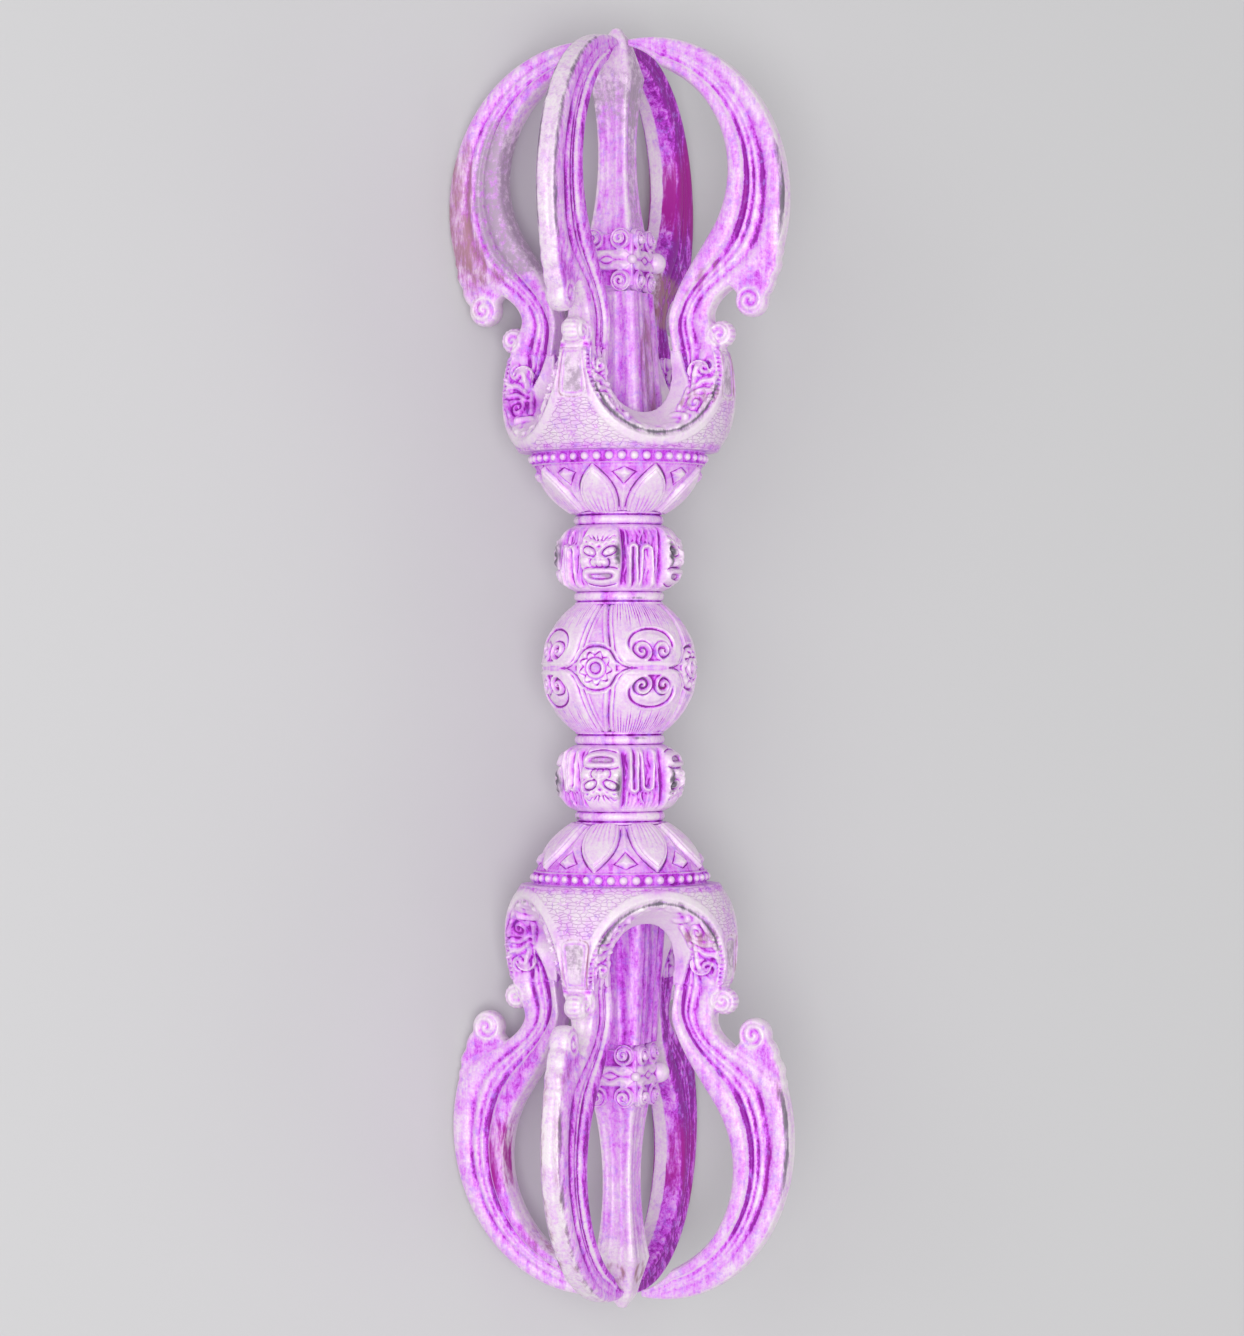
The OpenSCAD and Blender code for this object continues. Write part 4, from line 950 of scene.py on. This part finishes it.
stations = [(0.0, 2 * bore_r, 0.0), (0.0, column_foot, 0.0), (0.02, column_foot, 1.0)]
for t in np.linspace(0.01, 1, 70):
    stations.append((column_h * t, column_foot + (column_top - column_foot) * t, 1.0))
stations += [(column_h + 0.01, head_side, 0.0), (shaft_z, head_side, 0.0)]
for t in np.linspace(0, 1, 90)[1:]:
    side = waist_side + (head_side - waist_side) * (2 * t - 1) ** 2
    stations.append((shaft_z + shaft_h * t, side, shaft_panel))
for t in np.linspace(0, 1, 60)[1:]:
    stations.append((head_z + point_h * t, np.interp(point_h * t, *point_shape), shaft_panel * (1 - t) ** 2))
rows = len(stations)
z, side, panelled = np.array(stations).T[:, :, None] * np.ones(corner_steps)
a = np.linspace(0, 2 * np.pi, corner_steps, endpoint=False)
blunt = np.interp(z, [head_z, head_z + point_h], [9.0, 2.6])
corner = (abs(np.cos(a)) ** blunt + abs(np.sin(a)) ** blunt) ** (-1 / blunt)
face_x = abs(np.tan(np.radians(nearest(np.degrees(a), 90))))
ridge = line(face_x - 0.3, 0.09)
panel_cut = -0.4 * smooth(0.7, 0.55, face_x) + 0.3 * ridge - 0.12 * line(face_x - 0.82, 0.06)
r = side / 2 * corner + panelled * panel_cut
points = np.stack((r * np.cos(a), r * np.sin(a), z + floor_z), -1).reshape(-1, 3)
faces = np.vstack((strips(rows, corner_steps), lid((rows - 1) * corner_steps, corner_steps),
                   lid(0, corner_steps)[:, ::-1]))
shaft = smooth(shaft_z - 1, shaft_z + 1, z)
hollow = 0.37 - (0.06 + 0.26 * shaft) * smooth(0.72, 0.95, face_x) - 0.06 * ridge * (1 - shaft)
hollow = hollow + 0.1 * line(face_x - 0.55, 0.12) * (1 - shaft) - 0.3 * smooth(head_z - 5, head_z + 1, z)
right_face = smooth(0.75, 0.95, np.sin(a))
head_film = 0.55 * line(z - head_z + 3, 4.0)
eye_ring = line(np.hypot(2.6 * face_x, z - head_z - 1.8) - 1.2, 0.5)
central_metal = rubbed_cast("central_metal", 0.16, 0.28)
chase("upper_central_prong", "central_metal", central_metal, points, faces, ENDS["upper"],
      hollow=hollow - 0.03, grey=head_film + 0.45 * right_face * shaft,
      rust=0.45 * right_face * smooth(18, 10, z))
chase("lower_central_prong", "central_metal", central_metal, points, faces, ENDS["lower"],
      hollow=hollow + 0.14 - 0.22 * shaft, grey=0.3 * head_film, rust=0.6 * eye_ring)

# Cloud collars: cast sleeves of rolled cloud scrolls with a band and corner knobs, slid over the
# prong's head down to the column's shoulder.
cloud_z, knob_out, volute_r, volute_out, cloud_cell = 52.5, 4.05, 1.45, 2.05, 0.12
worn_corner = np.array((3.5, 3.5, cloud_h / 2))
points, faces = even_skin([raised(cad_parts["upper_cloud_collar"].data)], cloud_cell)
points = eased(points - (0, 0, cloud_z), faces, 2)
facing = normals_of(points, faces)
face_turn, _, aside = by_quarter(points[:, 0], points[:, 1])
front = facing[:, 0] * cosd(face_turn) + facing[:, 1] * sind(face_turn)
from_band = abs(points[:, 2] - cloud_h / 2)
scroll_x, scroll_y = abs(aside) - volute_out, from_band - cloud_h / 2 + volute_r
outward = smooth(0.3, 0.8, front)
scroll = spiral(-scroll_x, scroll_y, volute_r + 0.1, 0.82, 0.15)
knob_x, knob_y = abs(points[:, 0]) - knob_out, abs(points[:, 1]) - knob_out
knob_to = np.sqrt(knob_x ** 2 + knob_y ** 2 + from_band ** 2)
knob = smooth(1.9, 1.5, knob_to)
swag = from_band - 0.8 - 0.3 * np.cos(aside * 1.9)
relief = outward * (0.24 * scroll + (1 - knob) * tooled(swag, (0.16, 0, 0.3), (-0.16, -0.6, 0.24)))
points = points + facing * relief[:, None]
worn_flat = 0.6 * smooth(2.0, 1.4, knob_to) * (points[:, 0] * points[:, 1] > 0)
side_of = np.column_stack((np.sign(points[:, :2]), np.ones(len(points))))
points += (side_of * worn_corner - points) * worn_flat[:, None]
depth = sunk(points, faces, 18)
web = smooth(1.0, 1.6, np.hypot(scroll_x, scroll_y)) * smooth(1.3, 1.8, from_band) * outward
hollow = 0.55 * wash(depth, 0.01, 0.13) + 0.22 - 0.16 * knob + 0.3 * web
# The deepest cuts of the cloud collars get a weaker painted shade in dark grey.
chase_both("cloud_collar", "grip_metal", grip_metal, points + (0, 0, cloud_z), faces,
           hollow=np.minimum(hollow, 1), soot=0.6 * deepest_shading(depth))

# Studio: a plain pale floor that the sceptre lies on, a soft lamp in front of it, a broad one overhead
# and a weaker one from the side, and an even pale surround.
FLOOR_PALE, FLOOR_GREY, floor_half = (0.6, 0.597, 0.605), (0.56, 0.557, 0.565), 3
floor_mesh = bpy.data.meshes.new("floor")
floor_mesh.from_pydata([(x * floor_half, y * floor_half, 0) for x, y in ((-1, -1), (1, -1), (1, 1), (-1, 1))],
                       [], [(0, 1, 2, 3)])
floor = new_object("floor", floor_mesh)
floor_finish, tree, shader = bare_material("pale_floor")
shade = spread(tree, mottle(tree, 6, 3, 0.5), 0.3, 0.7, 0, 0.15)
dress(tree, shader, Base_Color=blend_colour(tree, shade, FLOOR_PALE, FLOOR_GREY), Roughness=0.7)
floor_mesh.materials.append(floor_finish)
LAMPS = {"overhead": ((0.2, 0.75, 0.75), 0.55, 2.1), "side": ((-0.4, -0.75, 0.6), 0.6, 0.9),
         "front": ((-0.1, 0.32, 0.85), 0.35, 3.4)}
for name, (place, size, watts) in LAMPS.items():
    lamp = bpy.data.lights.new(name, "AREA")
    lamp.size = size
    lamp.energy = watts
    holder = new_object(name, lamp)
    holder.location = place
    holder.rotation_euler = (-Vector(place)).to_track_quat("-Z", "Y").to_euler()
world = bpy.data.worlds.new("surround")
world.use_nodes = True
dress(world.node_tree, world.node_tree.nodes["Background"], Color=(1, 1, 1), Strength=0.55)
bpy.context.scene.world = world
bpy.context.scene.view_settings.view_transform = "Standard"

# Camera: looks down on the sceptre from between two prongs, its upper end at the top of the frame,
# with the small lean that the photograph has.
CAMERA_REACH, FRAME_HEIGHT, SENSOR = 0.6, 0.1874, 36.0
ELEVATION, LEAN, SIDE_SHIFT = 67.5, 0.25, 0.00035
rise, level = sind(ELEVATION), cosd(ELEVATION)
view_from = Vector((0, level, rise))
picture_right = Vector((0, -rise, level))
picture_up = Vector((1, 0, 0))
aim = Vector((0, 0, rest_h * MM)) + SIDE_SHIFT * picture_right
camera = bpy.data.cameras.new("camera")
camera.sensor_width = SENSOR
camera.lens = SENSOR * CAMERA_REACH / FRAME_HEIGHT
holder = new_object("camera", camera)
axes = Matrix((picture_right, picture_up, view_from)).transposed()
holder.matrix_world = Matrix.Translation(aim + CAMERA_REACH * view_from) @ (
    axes @ Matrix.Rotation(math.radians(-LEAN), 3, "Z")).to_4x4()
bpy.context.scene.camera = holder
